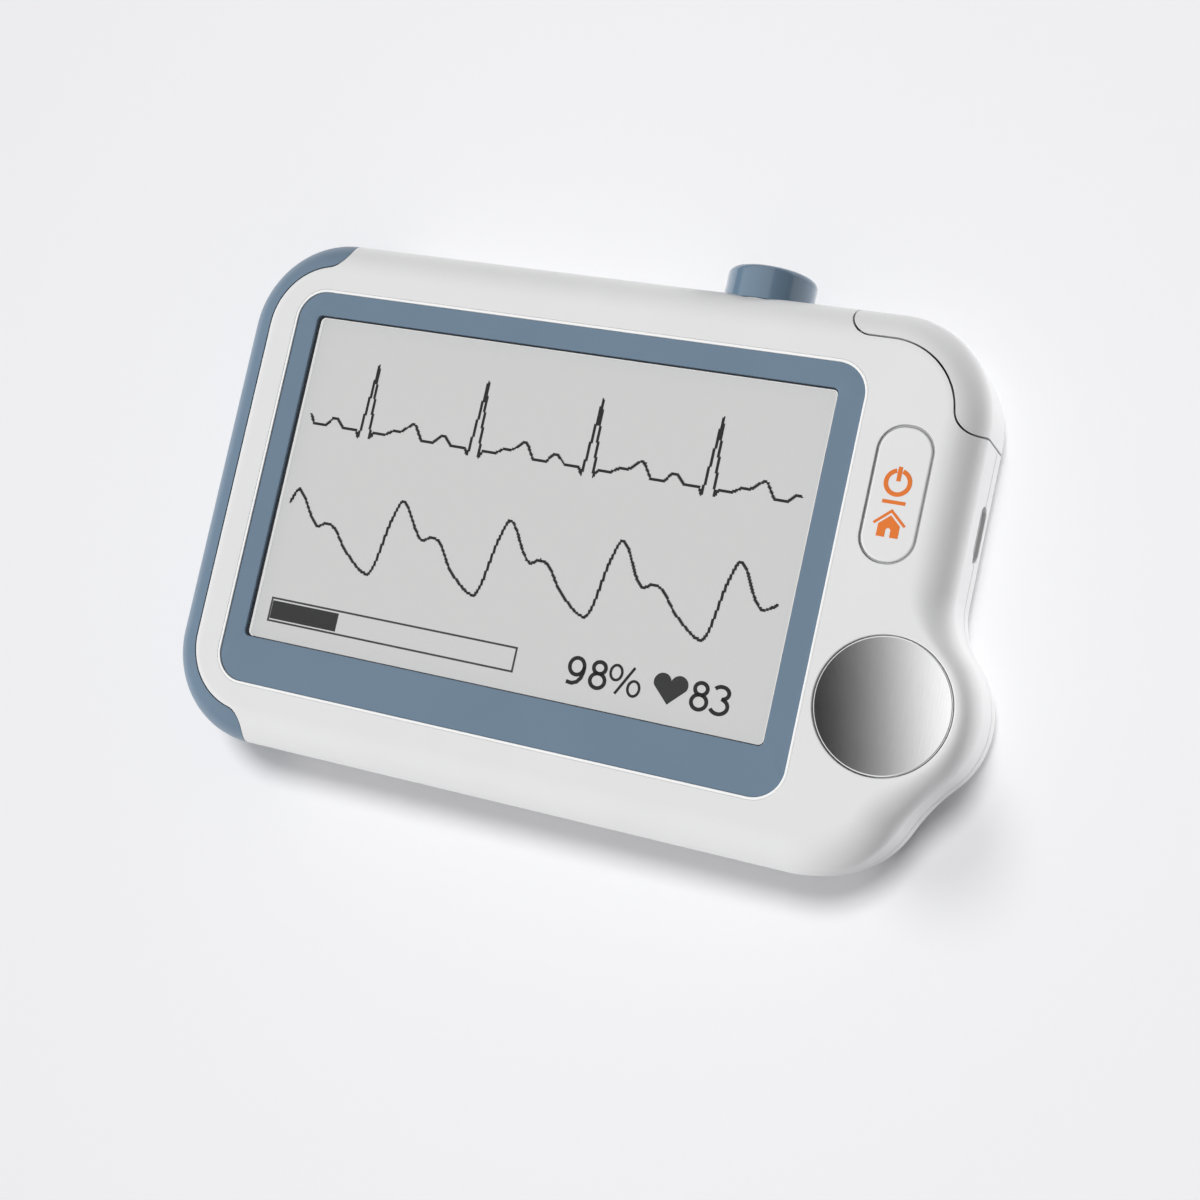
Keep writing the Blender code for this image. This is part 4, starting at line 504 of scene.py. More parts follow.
def place(piece, material, node=None, body="housing"):
    """Gives the piece its material and puts it on its body, in place of a node."""
    piece.data.materials.clear()
    piece.data.materials.append(material)
    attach(piece, body)
    if node:
        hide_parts(node)


# Materials

NOISE_SPAN = (0.3, 0.7)  # nearly all of a noise's values lie between these
FULL_SPAN = (0.0, 1.0)


class Nodes:
    """A node tree and the kinds of node that the looks are made of."""

    def __init__(self, tree):
        self.tree = tree

    def fill(self, node, *feeds, **sockets):
        """Sets or links a node's first sockets, and others by name with _ for a space."""
        targets = list(zip(node.inputs, feeds))
        targets += [(node.inputs[key.replace("_", " ")], value) for key, value in sockets.items()]
        for socket, value in targets:
            if isinstance(value, bpy.types.NodeSocket):
                self.tree.links.new(value, socket)
            else:
                socket.default_value = value

    def node(self, kind, *feeds, **values):
        """New node; names in small letters are its settings, and others its sockets."""
        made = self.tree.nodes.new("ShaderNode" + kind)
        for key in [key for key in values if key.islower()]:
            setattr(made, key, values.pop(key))
        self.fill(made, *feeds, **values)
        return made

    def math(self, operation, *feeds):
        return self.node("Math", *feeds, operation=operation).outputs[0]

    def ranged(self, value, low, high, to_low=0.0, to_high=1.0):
        """The value's range from low to high moved to another range."""
        return self.node("MapRange", value, low, high, to_low, to_high).outputs["Result"]

    def graded(self, fac, *stops):
        """Colours between stops, each a position and a colour."""
        ramp = self.node("ValToRGB", fac)
        elements = ramp.color_ramp.elements
        while len(elements) < len(stops):
            elements.new(0.5)
        for element, (position, colour) in zip(elements, stops):
            element.position = position
            element.color = (*colour, 1.0)
        return ramp.outputs["Color"]


class Recipe(Nodes):
    """Node material with a Principled shader and textures in the object's own space."""

    def __init__(self, name):
        self.material = bpy.data.materials.new(name)
        self.material.use_nodes = True
        super().__init__(self.material.node_tree)
        self.shader = self.tree.nodes["Principled BSDF"]
        self.coordinates = self.node("TexCoord").outputs["Object"]

    def scaled(self, *factors):
        return self.node("Mapping", self.coordinates, Scale=factors).outputs[0]

    def noise(self, size, detail=3.0, stretch=(1, 1, 1), roughness=0.5):
        """Noise whose blotches are about size across, stretched along an axis."""
        place_in = self.scaled(*(1 / (size * MM * s) for s in stretch))
        texture = self.node("TexNoise", place_in, Scale=1.0, Detail=detail, Roughness=roughness)
        return texture.outputs["Fac"]

    def tinted(self, fac, low, high, span=NOISE_SPAN):
        return self.graded(fac, (span[0], low), (span[1], high))

    def spread(self, fac, low, high):
        return self.ranged(fac, *NOISE_SPAN, low, high)

    def bump(self, fac, distance, **under):
        return self.node("Bump", Height=fac, Distance=distance * MM, **under).outputs["Normal"]

    def put(self, **sockets):
        """Fills the shader's sockets and returns the material."""
        self.fill(self.shader, **sockets)
        return self.material


def shade(colour, factor):
    return tuple(min(c * factor, 1.0) for c in colour)


def moulded(name, colour, roughness, grain=0.09, depth=0.0016, variation=0.012, coat=0.0,
            specular=0.5):
    """Moulded plastic with a fine spark-eroded grain and the faint unevenness of a real part."""
    r = Recipe(name)
    fine = r.noise(grain, 4.0)
    return r.put(
        Base_Color=r.tinted(r.noise(9, 2.0), shade(colour, 1 - variation),
                            shade(colour, 1 + variation)),
        Roughness=r.spread(fine, roughness * 0.92, roughness * 1.08),
        Normal=r.bump(fine, depth),
        Coat_Weight=coat, Coat_Roughness=0.12, Specular_IOR_Level=specular,
    )


def brushed(name, colour, roughness, stretch, grain=0.03, depth=0.0012):
    """Metal with fine scratches along one axis."""
    r = Recipe(name)
    lines = r.noise(grain, 3.0, stretch)
    return r.put(
        Base_Color=r.tinted(lines, shade(colour, 0.96), shade(colour, 1.03)),
        Metallic=1.0,
        Roughness=r.spread(r.noise(3, 2.0), roughness * 0.9, roughness * 1.1),
        Normal=r.bump(lines, depth),
    )


WHITE = (0.745, 0.745, 0.746)
BLUE = (0.140, 0.204, 0.275)
STEEL = (0.72, 0.72, 0.72)
GOLD = (0.75, 0.55, 0.25)
BLACK = (0.02, 0.02, 0.022)
SOOT = (0.03, 0.03, 0.034)

white_plastic = moulded("white_plastic", WHITE, 0.42)
rear_plastic = moulded("rear_plastic", WHITE, 0.48, depth=0.003)
button_plastic = moulded("button_plastic", WHITE, 0.4)
blue_plastic = moulded("blue_plastic", BLUE, 0.36, variation=0.02)
bezel_paint = moulded("bezel_paint", BLUE, 0.42, grain=0.05, depth=0.0008, variation=0.02)
cap_plastic = moulded("cap_plastic", (0.118, 0.185, 0.258), 0.1, depth=0.0003, variation=0.02,
                      coat=1.0)
dark_plastic = moulded("dark_plastic", (0.02, 0.022, 0.026), 0.45)
# Painted highlight: a whiter copy of the case's plastic for the bright edge round the bezel.
lip_plastic = moulded("lip_plastic", (0.9, 0.9, 0.9), 0.35, depth=0.0004)
# Painted shade: near-black for the ring that stands in for the shade inside the bezel's window.
gasket_rubber = moulded("gasket_rubber", (0.018, 0.024, 0.032), 0.7)
# Painted shade: grey for the ring down in the button's groove.
groove_shade_grey = moulded("seal_rubber_grey", (0.36, 0.36, 0.365), 0.6)
screen_edge = moulded("screen_edge", (0.82, 0.81, 0.79), 0.5)
plate_steel = brushed("plate_steel", (0.95, 0.95, 0.95), 0.07, (1, 60, 1), depth=0.00004)
strip_steel = brushed("strip_steel", STEEL, 0.24, (60, 60, 1))
back_steel = brushed("back_steel", STEEL, 0.22, (60, 1, 1))
screw_steel = brushed("screw_steel", (0.5, 0.5, 0.5), 0.3, (1, 1, 1), grain=0.1)
port_tin = moulded("port_tin", (0.88, 0.88, 0.88), 0.35, grain=0.2, depth=0.0006)


# Shells


def case_solid(name):
    return lofted(name, back_edge_rings(0.0) + face_edge_rings(0.0))


def beside_bands(name, grow, outer, low, high):
    """Prisms that follow the cover and the trim, from beyond their seams."""
    return (
        prism(f"{name}_at_cover", cover_outline(COVER_SEAM / 2 + grow, outer), low, high),
        prism(f"{name}_at_trim", trim_outline(TRIM_SEAM / 2 + grow, outer), low, high),
    )


def bites(side):
    """Cutters for the cover and the trim; the trim's leaves a shallow slope along its seam."""
    low, high = -OVERRUN, FACE + OVERRUN
    slope_width, slope_depth, slope_top = 0.5, 0.17, FACE - 0.01
    slope = [(g, slope_top - b * slope_depth / slope_width) for g, b in rim_arc(slope_width)]
    levels = [(0.0, low), *slope, (slope_width, high)]
    return (
        prism(f"{side}_cover_bite", cover_outline(COVER_SEAM / 2, -OVERRUN), low, high),
        layered(f"{side}_trim_bite", lambda g: trim_outline(TRIM_SEAM / 2 + g, -OVERRUN), levels),
    )


def wall_openings(side):
    """Cutters for the socket, the probe, the cap's seat and the finger pad."""
    port_rim = 0.18
    inside = TOP_SIDE - WALL - OVERRUN
    bed = arc(COVER_CORNER, BED_WALL - WALL - OVERRUN, BED_START, BED_END, CORNER_STEPS)
    bed += arc(COVER_CORNER, BED_WALL + OVERRUN, BED_END, BED_START, CORNER_STEPS)
    return (
        mouth(f"{side}_port", grown(rounded(PORT, *PORT_SIZE), FIT), RIGHT_SIDE - WALL - OVERRUN,
              RIGHT_SIDE, port_rim, "yz"),
        mouth(f"{side}_probe", round_of(PROBE, PROBE_OPENING), inside, TOP_SIDE, plane="xz"),
        rod(f"{side}_cap_seat", PROBE, CAP_RADIUS + CAP_SEAM, CAP_FOOT - CAP_SEAM,
            TOP_SIDE + OVERRUN, "xz", ROUND_STEPS),
        prism(f"{side}_bed", bed, BED_LOW, BED_HIGH),
    )


def hinge_lug():
    high = LUG_LOW + LUG_HEIGHT
    radius = 0.75
    foot = polar(HINGE, COVER_END_RADIUS + COVER_ROOM / 2 + JOIN_OVERLAP, LUG_TURN)
    outline = arc(HINGE, radius, LUG_TURN - 270, LUG_TURN - 90, 20)
    outline += [polar(foot, side * radius, LUG_TURN + 90) for side in (-1, 1)]
    lug = prism("hinge_lug", outline, LUG_LOW, high)
    cut(lug, rod("lug_eye", HINGE, PIN_RADIUS, LUG_LOW - OVERRUN, high + OVERRUN))
    return lug


def probe_collar(low):
    """Fills the top wall round the cap's seat, above the parting line."""
    collar = rod("probe_collar", PROBE, CAP_RADIUS, TOP_SIDE - WALL, TOP_SIDE, "xz", ROUND_STEPS)
    reach = 4 * CAP_RADIUS
    below = rectangle((PROBE[0], TOP_SIDE), reach, reach, CAP_SEAM)
    cut(collar, prism("below_collar", below, -OVERRUN, low + JOIN_OVERLAP))
    return collar


def front_shell():
    low = SPLIT_HEIGHT + SPLIT_SEAM / 2
    lip_top = low + LIP_HEIGHT
    pocket_rim, groove_depth, groove_rim, plate_floor = 0.02, 0.7, 0.08, 12.2
    edge = [case_ring(low + b, g) for g, b in rim_arc(EDGE)][::-1]
    skin = [case_ring(low, LIP_SKIN)] + edge + face_edge_rings(0.0)
    hollow = [case_ring(lip_top, LIP_SKIN), case_ring(lip_top, WALL)] + face_edge_rings(WALL)
    shell = lofted("front_case", hollow[::-1] + skin)
    join(shell, *beside_bands("front_wall", WALL, WALL * ROOT_SHARE, low, CEILING + JOIN_OVERLAP))
    cut(shell, *bites("front"))
    join(shell, hinge_lug(), probe_collar(low))
    cut(
        shell,
        mouth("bezel_pocket", grown(bezel_outline, FIT + LIP), POCKET_FLOOR, FACE, pocket_rim),
        prism("panel_opening", rectangle(SCREEN, *PANEL_OPENING), CEILING - OVERRUN, FACE),
        prism("button_opening", button_outline(BUTTON_GAP), CEILING - OVERRUN, FACE),
        mouth("button_groove", grown(button_outline, BUTTON_GROOVE), FACE - groove_depth, FACE,
              groove_rim),
        mouth("plate_pocket", round_of(LOBE, THUMB_PLATE + PLATE_GAP, PLATE_STEPS), plate_floor,
              FACE, PLATE_EDGE),
        *wall_openings("front"),
    )
    place(settle(shell), white_plastic, "front_shell")


def grille():
    """Cutters for five slots whose ends lie on a circle."""
    middle, pitch, reach, width = (22.5, -11.0), 1.7, 3.75, 0.8
    slots = []
    for row in range(-2, 3):
        length = 2 * math.sqrt(reach**2 - (row * pitch) ** 2)
        slot = rounded((middle[0], middle[1] + row * pitch), length, width, width / 2)
        slots.append(mouth(f"grille_{row + 2}", slot, WALL + OVERRUN, 0.0))
    return slots


def rear_shell():
    high = SPLIT_HEIGHT - SPLIT_SEAM / 2
    lip = LIP_SKIN + SEAM
    lip_top = high + LIP_HEIGHT
    plate_floor = 0.9
    edge = [case_ring(high - b, g) for g, b in rim_arc(EDGE)]
    outside = back_edge_rings(0.0) + edge + [case_ring(high, lip)]
    inside = back_edge_rings(WALL) + [case_ring(lip_top, WALL), case_ring(lip_top, lip)]
    shell = lofted("rear_case", outside + inside[::-1])
    wells = [
        mouth(f"well_{i}", round_of(centre, SCREW_HEAD + SEAM, SCREW_STEPS), SCREW_SEAT, 0.0)
        for i, centre in enumerate(SCREWS)
    ]
    # These come first: after the other cuts they would break the back face
    cut(shell, *grille(), *wells)
    cut(shell, *beside_bands("lip_gap", WALL + SEAM, -OVERRUN, high + LIP_GAP, lip_top + OVERRUN))
    join(shell, *beside_bands("rear_wall", WALL, WALL * ROOT_SHARE, WALL - JOIN_OVERLAP, high))
    cut(
        shell,
        *bites("rear"),
        mouth("back_plate_pocket", round_of(LOBE, BACK_PLATE + PLATE_GAP, PLATE_STEPS), plate_floor,
              0.0, PLATE_EDGE),
        *wall_openings("rear"),
    )
    place(settle(shell), rear_plastic, "rear_shell")


def side_trim():
    trim = case_solid("trim_band")
    plan = prism("trim_plan", trim_outline(-TRIM_SEAM / 2, -OVERRUN), -OVERRUN, FACE + OVERRUN)
    combine(trim, plan, "INTERSECT")
    pocket_floor = LEFT_SIDE + 0.85
    cut(trim, mouth("side_pocket", grown(side_plate_outline, PLATE_GAP), pocket_floor, LEFT_SIDE,
                    plane="yz"))
    place(settle(trim), blue_plastic, "side_trim")


def sensor_cover():
    """The finger clip's lid, with a slot for the hinge and room for its lug at every swing."""
    slot_low, slot_high, slot = LUG_LOW - 0.3, 8.99, 1.42
    knuckle = 1.2
    half, reach = 1.05, COVER_END_RADIUS + OVERRUN
    pocket_width, pocket_height, pocket_depth = 3.8, 3.4, 1.5
    cover = case_solid("clip_cover")
    plan = prism("cover_plan", cover_outline(-COVER_SEAM / 2, -OVERRUN), -OVERRUN, FACE + OVERRUN)
    combine(cover, plan, "INTERSECT")
    room = []
    for turn, across in ((LUG_TURN, 90), (LUG_TURN - COVER_SWING, -90)):
        edge = [polar(foot, half, turn + across) for foot in (HINGE, polar(HINGE, reach, turn))]
        room += edge if across > 0 else edge[::-1]
    near, far = BED_WALL - OVERRUN, BED_WALL + COVER_ROOM + pocket_depth
    pocket = [polar(polar(COVER_CORNER, distance, 45), side * pocket_width / 2, 135)
              for distance, side in ((near, -1), (far, -1), (far, 1), (near, 1))]
    cut(
        cover,
        rod("hinge_slot", HINGE, slot, slot_low, slot_high, steps=SCREW_STEPS),
        prism("lug_room", room, slot_low, slot_high),
        rod("pin_hole", HINGE, PIN_RADIUS, slot_low - knuckle, slot_high + knuckle),
        prism("emitter_pocket", pocket, (FACE - pocket_height) / 2, (FACE + pocket_height) / 2),
    )
    place(settle(cover), white_plastic, "sensor_cover", "finger_clip")


# What is set into the case


def display_bezel():
    window = rounded(SCREEN, SCREEN_LENGTH, SCREEN_WIDTH, SCREEN_CORNER, FRAME_STEPS)
    edge = rim_arc(BEZEL_EDGE)
    rings = [at_height(bezel_outline(0.0), BEZEL_BOTTOM)]
    rings += [at_height(bezel_outline(-g), BEZEL_TOP - b) for g, b in edge]
    rings += [at_height(window(g), BEZEL_TOP - b) for g, b in reversed(edge)]
    rings.append(at_height(window(0.0), BEZEL_BOTTOM))
    place(steadied(lofted("screen_bezel", rings, closed=True)), bezel_paint, "display_bezel")


def bezel_lip():
    """Whiter edge between the bezel and the case, rounded on top: a painted highlight, lighter than
    the case's plastic.
    """
    half, foot, top = LIP / 2, POCKET_FLOOR + 0.02, FACE - 0.01
    edge = rim_arc(0.05)
    levels = [(-half, foot)] + [(-half + g, top - b) for g, b in edge]
    levels += [(half - g, top - b) for g, b in reversed(edge)] + [(half, foot)]
    outline = grown(bezel_outline, FIT / 2 + half)
    place(layered("bezel_lip", outline, levels, closed=True), lip_plastic)


def ring_between(name, outer, inner, low, high, material):
    corners = ((outer, low), (outer, high), (inner, high), (inner, low))
    rings = [at_height(outline, z) for outline, z in corners]
    place(lofted(name, rings, closed=True), material)


def button_seal():
    # Painted shade: a grey ring down in the real groove gives it an even dark line.
    outer, inner, foot, top = 0.2, 0.03, FACE - 0.6, FACE - 0.24
    ring_between("button_seal", button_outline(outer), button_outline(inner), foot, top,
                 groove_shade_grey)


def window_shade_and_edge():
    """Dark ring inside the bezel's window, painted shade on the window's inner wall, and the pale
    edge of the display under it.
    """
    outer, inner = (
        rectangle(SCREEN, SCREEN_LENGTH - less, SCREEN_WIDTH - less, SCREEN_CORNER, FRAME_STEPS)
        for less in (0.02, 0.2)
    )
    shade_ring_foot, shade_ring_top = PANEL_TOP + 0.02, 12.52
    ring_between("window_gasket", outer, inner, shade_ring_foot, shade_ring_top, gasket_rubber)
    glass, view = (61.1, 37.6), (58.9, 35.72)
    view_place = (-5.55, 1.29)
    outer = rectangle(SCREEN, *glass, GLASS_CORNER)
    inner = rectangle(view_place, *view, GLASS_CORNER)
    border_foot, border_top = LCD_TOP + 0.004, LCD_TOP + 0.03
    ring_between("screen_border", outer, inner, border_foot, border_top, screen_edge)


def home_button():
    top, edge = 12.98, 0.22
    flange_top = CEILING - 0.3
    flange_foot = flange_top - 0.6
    post, post_foot = 1.2, 9.75
    levels = [(BUTTON_FLANGE, flange_foot), (BUTTON_FLANGE, flange_top), (0.0, flange_top)]
    levels += [(-g, top - b) for g, b in rim_arc(edge)]
    button = layered("home_key", button_outline, levels)
    join(button, rod("key_post", BUTTON, post, post_foot, flange_top))
    place(settle(button, 0.0), button_plastic, "home_button", "button")


def plate_electrode(name, radius, outer, inner, side, node, material):
    """Round plate on a stem that reaches its contact; side is where its face looks."""
    stem, seat = 1.5, outer - side * PLATE_THICKNESS
    profile = [(stem, inner), (stem, seat), (radius, seat)]
    profile += [(radius - g, outer - side * b) for g, b in rim_arc(PLATE_EDGE)]
    place(steadied(turned(name, profile, LOBE, steps=PLATE_STEPS)), material, node)


def side_electrode():
    low = LEFT_SIDE + 0.05
    high = low + PLATE_THICKNESS
    outer_edge, inner_edge = 0.15, 0.02
    stem, stem_place, sunk, past = 0.6, (0.0, 7.85), 0.4, 0.2
    levels = [(-g, low + b) for g, b in rim_arc(outer_edge)][::-1]
    levels += [(-g, high - b) for g, b in rim_arc(inner_edge)]
    piece = layered("side_plate", side_plate_outline, levels, "yz")
    join(piece, rod("side_stem", stem_place, stem, low + sunk, TRIM_WALL + past, "yz"))
    place(settle(piece, 0.0), strip_steel, "side_electrode")


def thermometer_cap():
    top, roof = TOP_SIDE + CAP_RISE, 1.0
    bore, foot_edge, top_edge, top_steps = 3.5, 0.1, 0.7, 8
    profile = [(bore, top - roof), (bore, CAP_FOOT + foot_edge), (bore + foot_edge, CAP_FOOT)]
    profile += [(CAP_RADIUS - g, CAP_FOOT + b) for g, b in reversed(rim_arc(foot_edge))]
    profile += [(CAP_RADIUS - g, top - b) for g, b in rim_arc(top_edge, top_steps)]
    piece = turned("probe_cap", profile, PROBE, "xz", PLATE_STEPS)
    place(steadied(piece), cap_plastic, "thermometer_cap", "cap")


def thermometer_nozzle():
    bore, radius, flange = 2.45, 3.2, 3.9
    tail, low, top = 24.9, 25.4, 26.0
    tip = TOP_SIDE + 1.9
    groove, half, deep = TOP_SIDE + 0.8, 0.3, 0.4
    bore_edge, tip_edge = 0.35, 0.3
    profile = [(bore, tail)]
    profile += [(bore + g, tip - b) for g, b in rim_arc(bore_edge)]
    profile += [(radius - g, tip - b) for g, b in reversed(rim_arc(tip_edge))]
    profile += [
        (radius, groove + half), (radius - deep, groove + half), (radius - deep, groove - half),
        (radius, groove - half), (radius, top), (flange, top), (flange, low), (radius, low),
        (radius, tail),
    ]
    piece = turned("probe_nozzle", profile, PROBE, "xz", closed=True)
    place(piece, dark_plastic, "thermometer_nozzle")


def charging_socket():
    metal, sink, depth, steps = 0.3, 0.4, 6.5, 12
    front = RIGHT_SIDE - sink
    back = front - depth
    lip = rim_arc(RIM)
    levels = [(-metal, back + metal)]
    levels += [(-metal + g, front - b) for g, b in lip]
    levels += [(-g, front - b) for g, b in reversed(lip)]
    levels.append((0.0, back))
    piece = layered("port_shell", rounded(PORT, *PORT_SIZE, steps), levels, "yz")
    place(piece, port_tin, "charging_socket")


def cross_recess(name, centre, top):
    """Cutter for the cross in a screw's head, which faces down."""
    span, half, depth = 0.75, 0.15, 0.45
    outline = []
    for turn in (0, 90, 180, 270):
        tip = polar(centre, span, turn)
        outline += [polar(tip, half, turn - 90), polar(tip, half, turn + 90)]
        outline.append(polar(centre, half * math.sqrt(2), turn + 45))
    return prism(name, outline, top - OVERRUN, top + depth)


def case_screws():
    seat, head_height, radius, tip = SCREW_SEAT - 0.1, 0.8, 0.75, 8.6
    head_edge = 0.3
    low = seat - head_height
    for number, centre in enumerate(SCREWS, start=1):
        profile = [(radius, tip), (radius, seat), (SCREW_HEAD, seat)]
        profile += [(SCREW_HEAD - g, low + b) for g, b in rim_arc(head_edge)]
        screw = turned(f"cross_screw_{number}", profile, centre, steps=SCREW_STEPS)
        cut(screw, cross_recess(f"recess_{number}", centre, low))
        place(settle(screw, 0.0), screw_steel, f"case_screw_{number}")


front_shell()
rear_shell()
side_trim()
sensor_cover()
display_bezel()
bezel_lip()
window_shade_and_edge()
button_seal()
home_button()
plate_electrode("thumb_plate", THUMB_PLATE, FACE, 10.3, 1, "thumb_electrode", plate_steel)
plate_electrode("back_plate", BACK_PLATE, 0.1, 2.7, -1, "back_electrode", back_steel)
side_electrode()
thermometer_cap()
thermometer_nozzle()
charging_socket()
case_screws()


# What the screen shows, measured from the middle of the lit area

PITCH = 0.147
GRAPHICS = (-5.0, 1.1)
PEN = 0.15
INK_LOW = LCD_TOP + 0.004
INK_HIGH = LCD_TOP + 0.024
BEATS = 4


def ink(name, colour):
    return moulded(name, colour, 0.6, grain=0.2, depth=0.0004, variation=0.05,
                   specular=0.1)


ink_black = ink("ink_black", (0.012, 0.012, 0.013))
ink_grey = ink("ink_grey", (0.03, 0.03, 0.031))
ink_line = ink("ink_line", (0.05, 0.05, 0.052))
print_orange = ink("print_orange", (0.71, 0.187, 0.042))


def smooth_path(points, steps=12):
    """Curve through the points by cubic pieces whose slopes don't overshoot."""
    pieces = list(zip(points, points[1:]))
    slopes = [(y1 - y0) / (x1 - x0) for (x0, y0), (x1, y1) in pieces]
    tangents = [slopes[0]]
    for a, b in zip(slopes, slopes[1:]):
        tangents.append(0.0 if a * b <= 0 else 2 * a * b / (a + b))
    tangents.append(slopes[-1])
    path = []
    for ((x0, y0), (x1, y1)), leave, arrive in zip(pieces, tangents, tangents[1:]):
        width = x1 - x0
        for k in range(steps):
            t = k / steps
            y = (1 + 2 * t) * (1 - t) ** 2 * y0 + t * (1 - t) ** 2 * width * leave
            y += t * t * (3 - 2 * t) * y1 + t * t * (t - 1) * width * arrive
            path.append((x0 + width * t, y))
    path.append(points[-1])
    return path


def heart_trace():
    """Four beats: a small bump, the spike between its two dips, and a broader bump."""
    base, period, first = 6.35, 13.27, -21.93
    beat = ((-4.85, 0.05), (-4.15, 0.9), (-3.55, 0.88), (-2.7, 0.05), (-1.05, 0.0), (-0.68, -0.62),
            (-0.55, 0.1), (0.0, 7.35), (0.7, -0.62), (1.1, 0.03), (2.4, 0.0), (3.35, 0.58),
            (4.45, 0.72), (5.6, 1.72), (6.0, 1.5), (6.95, 0.04))
    points = [(-28.85, base + 1.0), (-28.3, base + 0.1)]
    for i in range(BEATS):
        centre = first + period * i
        points += [(centre + x, base + y) for x, y in beat]
    last = first + period * BEATS
    return points + [(last - 4.85, base + 0.03), (last - 4.1, base + 0.85), (27.5, base + 0.72)]


def pulse_trace():
    """Pulse waves: a steep rise, a fall with a notch and a shoulder, and a long fall."""
    period, first = 12.75, -28.2
    notches = (-4.62, -4.05, -4.3, -4.62, -4.64)
    tops = (-1.0, -0.3, -0.3, -0.3, -0.3)
    points = [(-28.95, -2.5)]
    for i, (notch, top) in enumerate(zip(notches, tops)):
        wave = [(0, top), (0.5, top - 0.35), (2.6, notch + 0.5), (3.25, notch), (4.3, notch + 0.48)]
        if i < BEATS:
            wave += [(4.9, notch + 0.35), (7.45, -6.85), (10.45, -8.72), (10.95, -7.9),
                     (11.9, -2.6)]
        points += [(first + period * i + x, y) for x, y in wave]
    points.append((27.4, -3.9))
    return points


def pixels_of(path):
    """The display's pixels under a pen that follows the path."""
    found = set()
    reach = PEN / PITCH
    for start, end in zip(path, path[1:]):
        steps = max(1, int(math.dist(start, end) / (PITCH / 5)))
        for k in range(steps + 1):
            u, v = ((a + (b - a) * k / steps) / PITCH for a, b in zip(start, end))
            for i in range(math.floor(u - reach), math.ceil(u + reach) + 1):
                for j in range(math.floor(v - reach), math.ceil(v + reach) + 1):
                    if math.hypot(i - u, j - v) <= reach:
                        found.add((i, j))
    return found


def pixel_mesh(name, cells):
    """One thin solid of square pixels."""
    vertices, index, faces = [], {}, []

    def corner(i, j, z):
        if (i, j, z) not in index:
            index[i, j, z] = len(vertices)
            x, y = GRAPHICS[0] + (i - 0.5) * PITCH, GRAPHICS[1] + (j - 0.5) * PITCH
            vertices.append((x * MM, y * MM, z * MM))
        return index[i, j, z]

    for i, j in sorted(cells):
        square = ((i, j), (i + 1, j), (i + 1, j + 1), (i, j + 1))
        faces.append([corner(*p, INK_HIGH) for p in square])
        faces.append([corner(*p, INK_LOW) for p in reversed(square)])
        for side, (di, dj) in enumerate(((0, -1), (1, 0), (0, 1), (-1, 0))):
            if (i + di, j + dj) not in cells:
                a, b = square[side], square[(side + 1) % 4]
                wall = ((a, INK_LOW), (b, INK_LOW), (b, INK_HIGH), (a, INK_HIGH))
                faces.append([corner(*p, z) for p, z in wall])
    mesh = bpy.data.meshes.new(name)
    mesh.from_pydata(vertices, [], faces)
    place(object_of(name, mesh), ink_black)


def stroke_rings(path, width, low, high, closed):
    """Cross-sections of a flat line of even width along a path, mitred at its corners."""
    longest_mitre = 0.4
    rings = []
    for i, point in enumerate(path):
        here = Vector(point)
        way_in = here - Vector(path[i - 1] if closed or i else point)
        way_out = Vector(path[(i + 1) % len(path)] if closed or i < len(path) - 1 else point) - here
        ways = [way for way in (way_in, way_out) if way.length]
        sides = [Vector((-way.y, way.x)).normalized() for way in (ways[0], ways[-1])]
        side = (sides[0] + sides[1]).normalized()
        side *= width / 2 / max(side.dot(sides[0]), longest_mitre)
        a, b = here + side, here - side
        rings.append([(*a, low), (*b, low), (*b, high), (*a, high)])
    return rings


def strokes(name, paths, material, solids=(), low=INK_LOW, high=INK_HIGH, body="housing"):
    """One piece of flat strokes; each is path, width, closed. solids are filled outlines."""

    def build(shape):
        for path, width, closed in paths:
            loft_into(shape, stroke_rings(path, width, low, high, closed), closed)
        for outline in solids:
            loft_into(shape, [at_height(outline, low), at_height(outline, high)])

    place(add_mesh(name, build), material, body=body)


def on_screen(points):
    return [(GRAPHICS[0] + x, GRAPHICS[1] + y) for x, y in points]


def oval(centre, half_x, half_y, start=0.0, end=360.0, steps=36):
    """Points round an oval, or from one turn to another."""
    turns = [math.radians(start + (end - start) * i / steps) for i in range(steps + 1)]
    if end - start == 360:
        turns.pop()
    return [(centre[0] + half_x * math.cos(t), centre[1] + half_y * math.sin(t)) for t in turns]


def digits():
    """Two readings, 98% and 83."""
    bold, light = 0.4, 0.28
    tail = [(8.97, -13.6), (8.96, -14.2), (8.8, -14.85), (8.45, -15.3), (7.95, -15.52),
            (7.3, -15.45)]
    lines = [(oval((8.16, -13.75), 0.8, 0.86), bold, True), (tail, bold, False)]
    for x in (10.62, 21.62):
        lines.append((oval((x, -13.45), 0.66, 0.6), bold, True))
        lines.append((oval((x, -14.78), 0.8, 0.74), bold, True))
    lines += [
        (oval((12.47, -13.57), 0.62, 0.76), light, True),
        (oval((14.6, -14.83), 0.62, 0.76), light, True),
        ([(12.72, -15.68), (14.35, -12.73)], light, False),
        (oval((23.75, -13.46), 0.8, 0.62, 150, -78, 20), bold, False),
        (oval((23.72, -14.8), 0.92, 0.76, 82, -152, 24), bold, False),
    ]
    paths = [(on_screen(line), width, closed) for line, width, closed in lines]
    strokes("screen_digits", paths, ink_black)


def heart_outline():
    """A plain heart sign: two round lobes over a point."""
    x, y, apart, tip, radius, steps = 18.4, -13.55, 0.9, -15.68, 0.94, 24
    points = arc((x + apart, y), radius, -28, 162, steps)
    points += arc((x - apart, y), radius, 18, 208, steps)
    return on_screen([*points, (x, tip)])


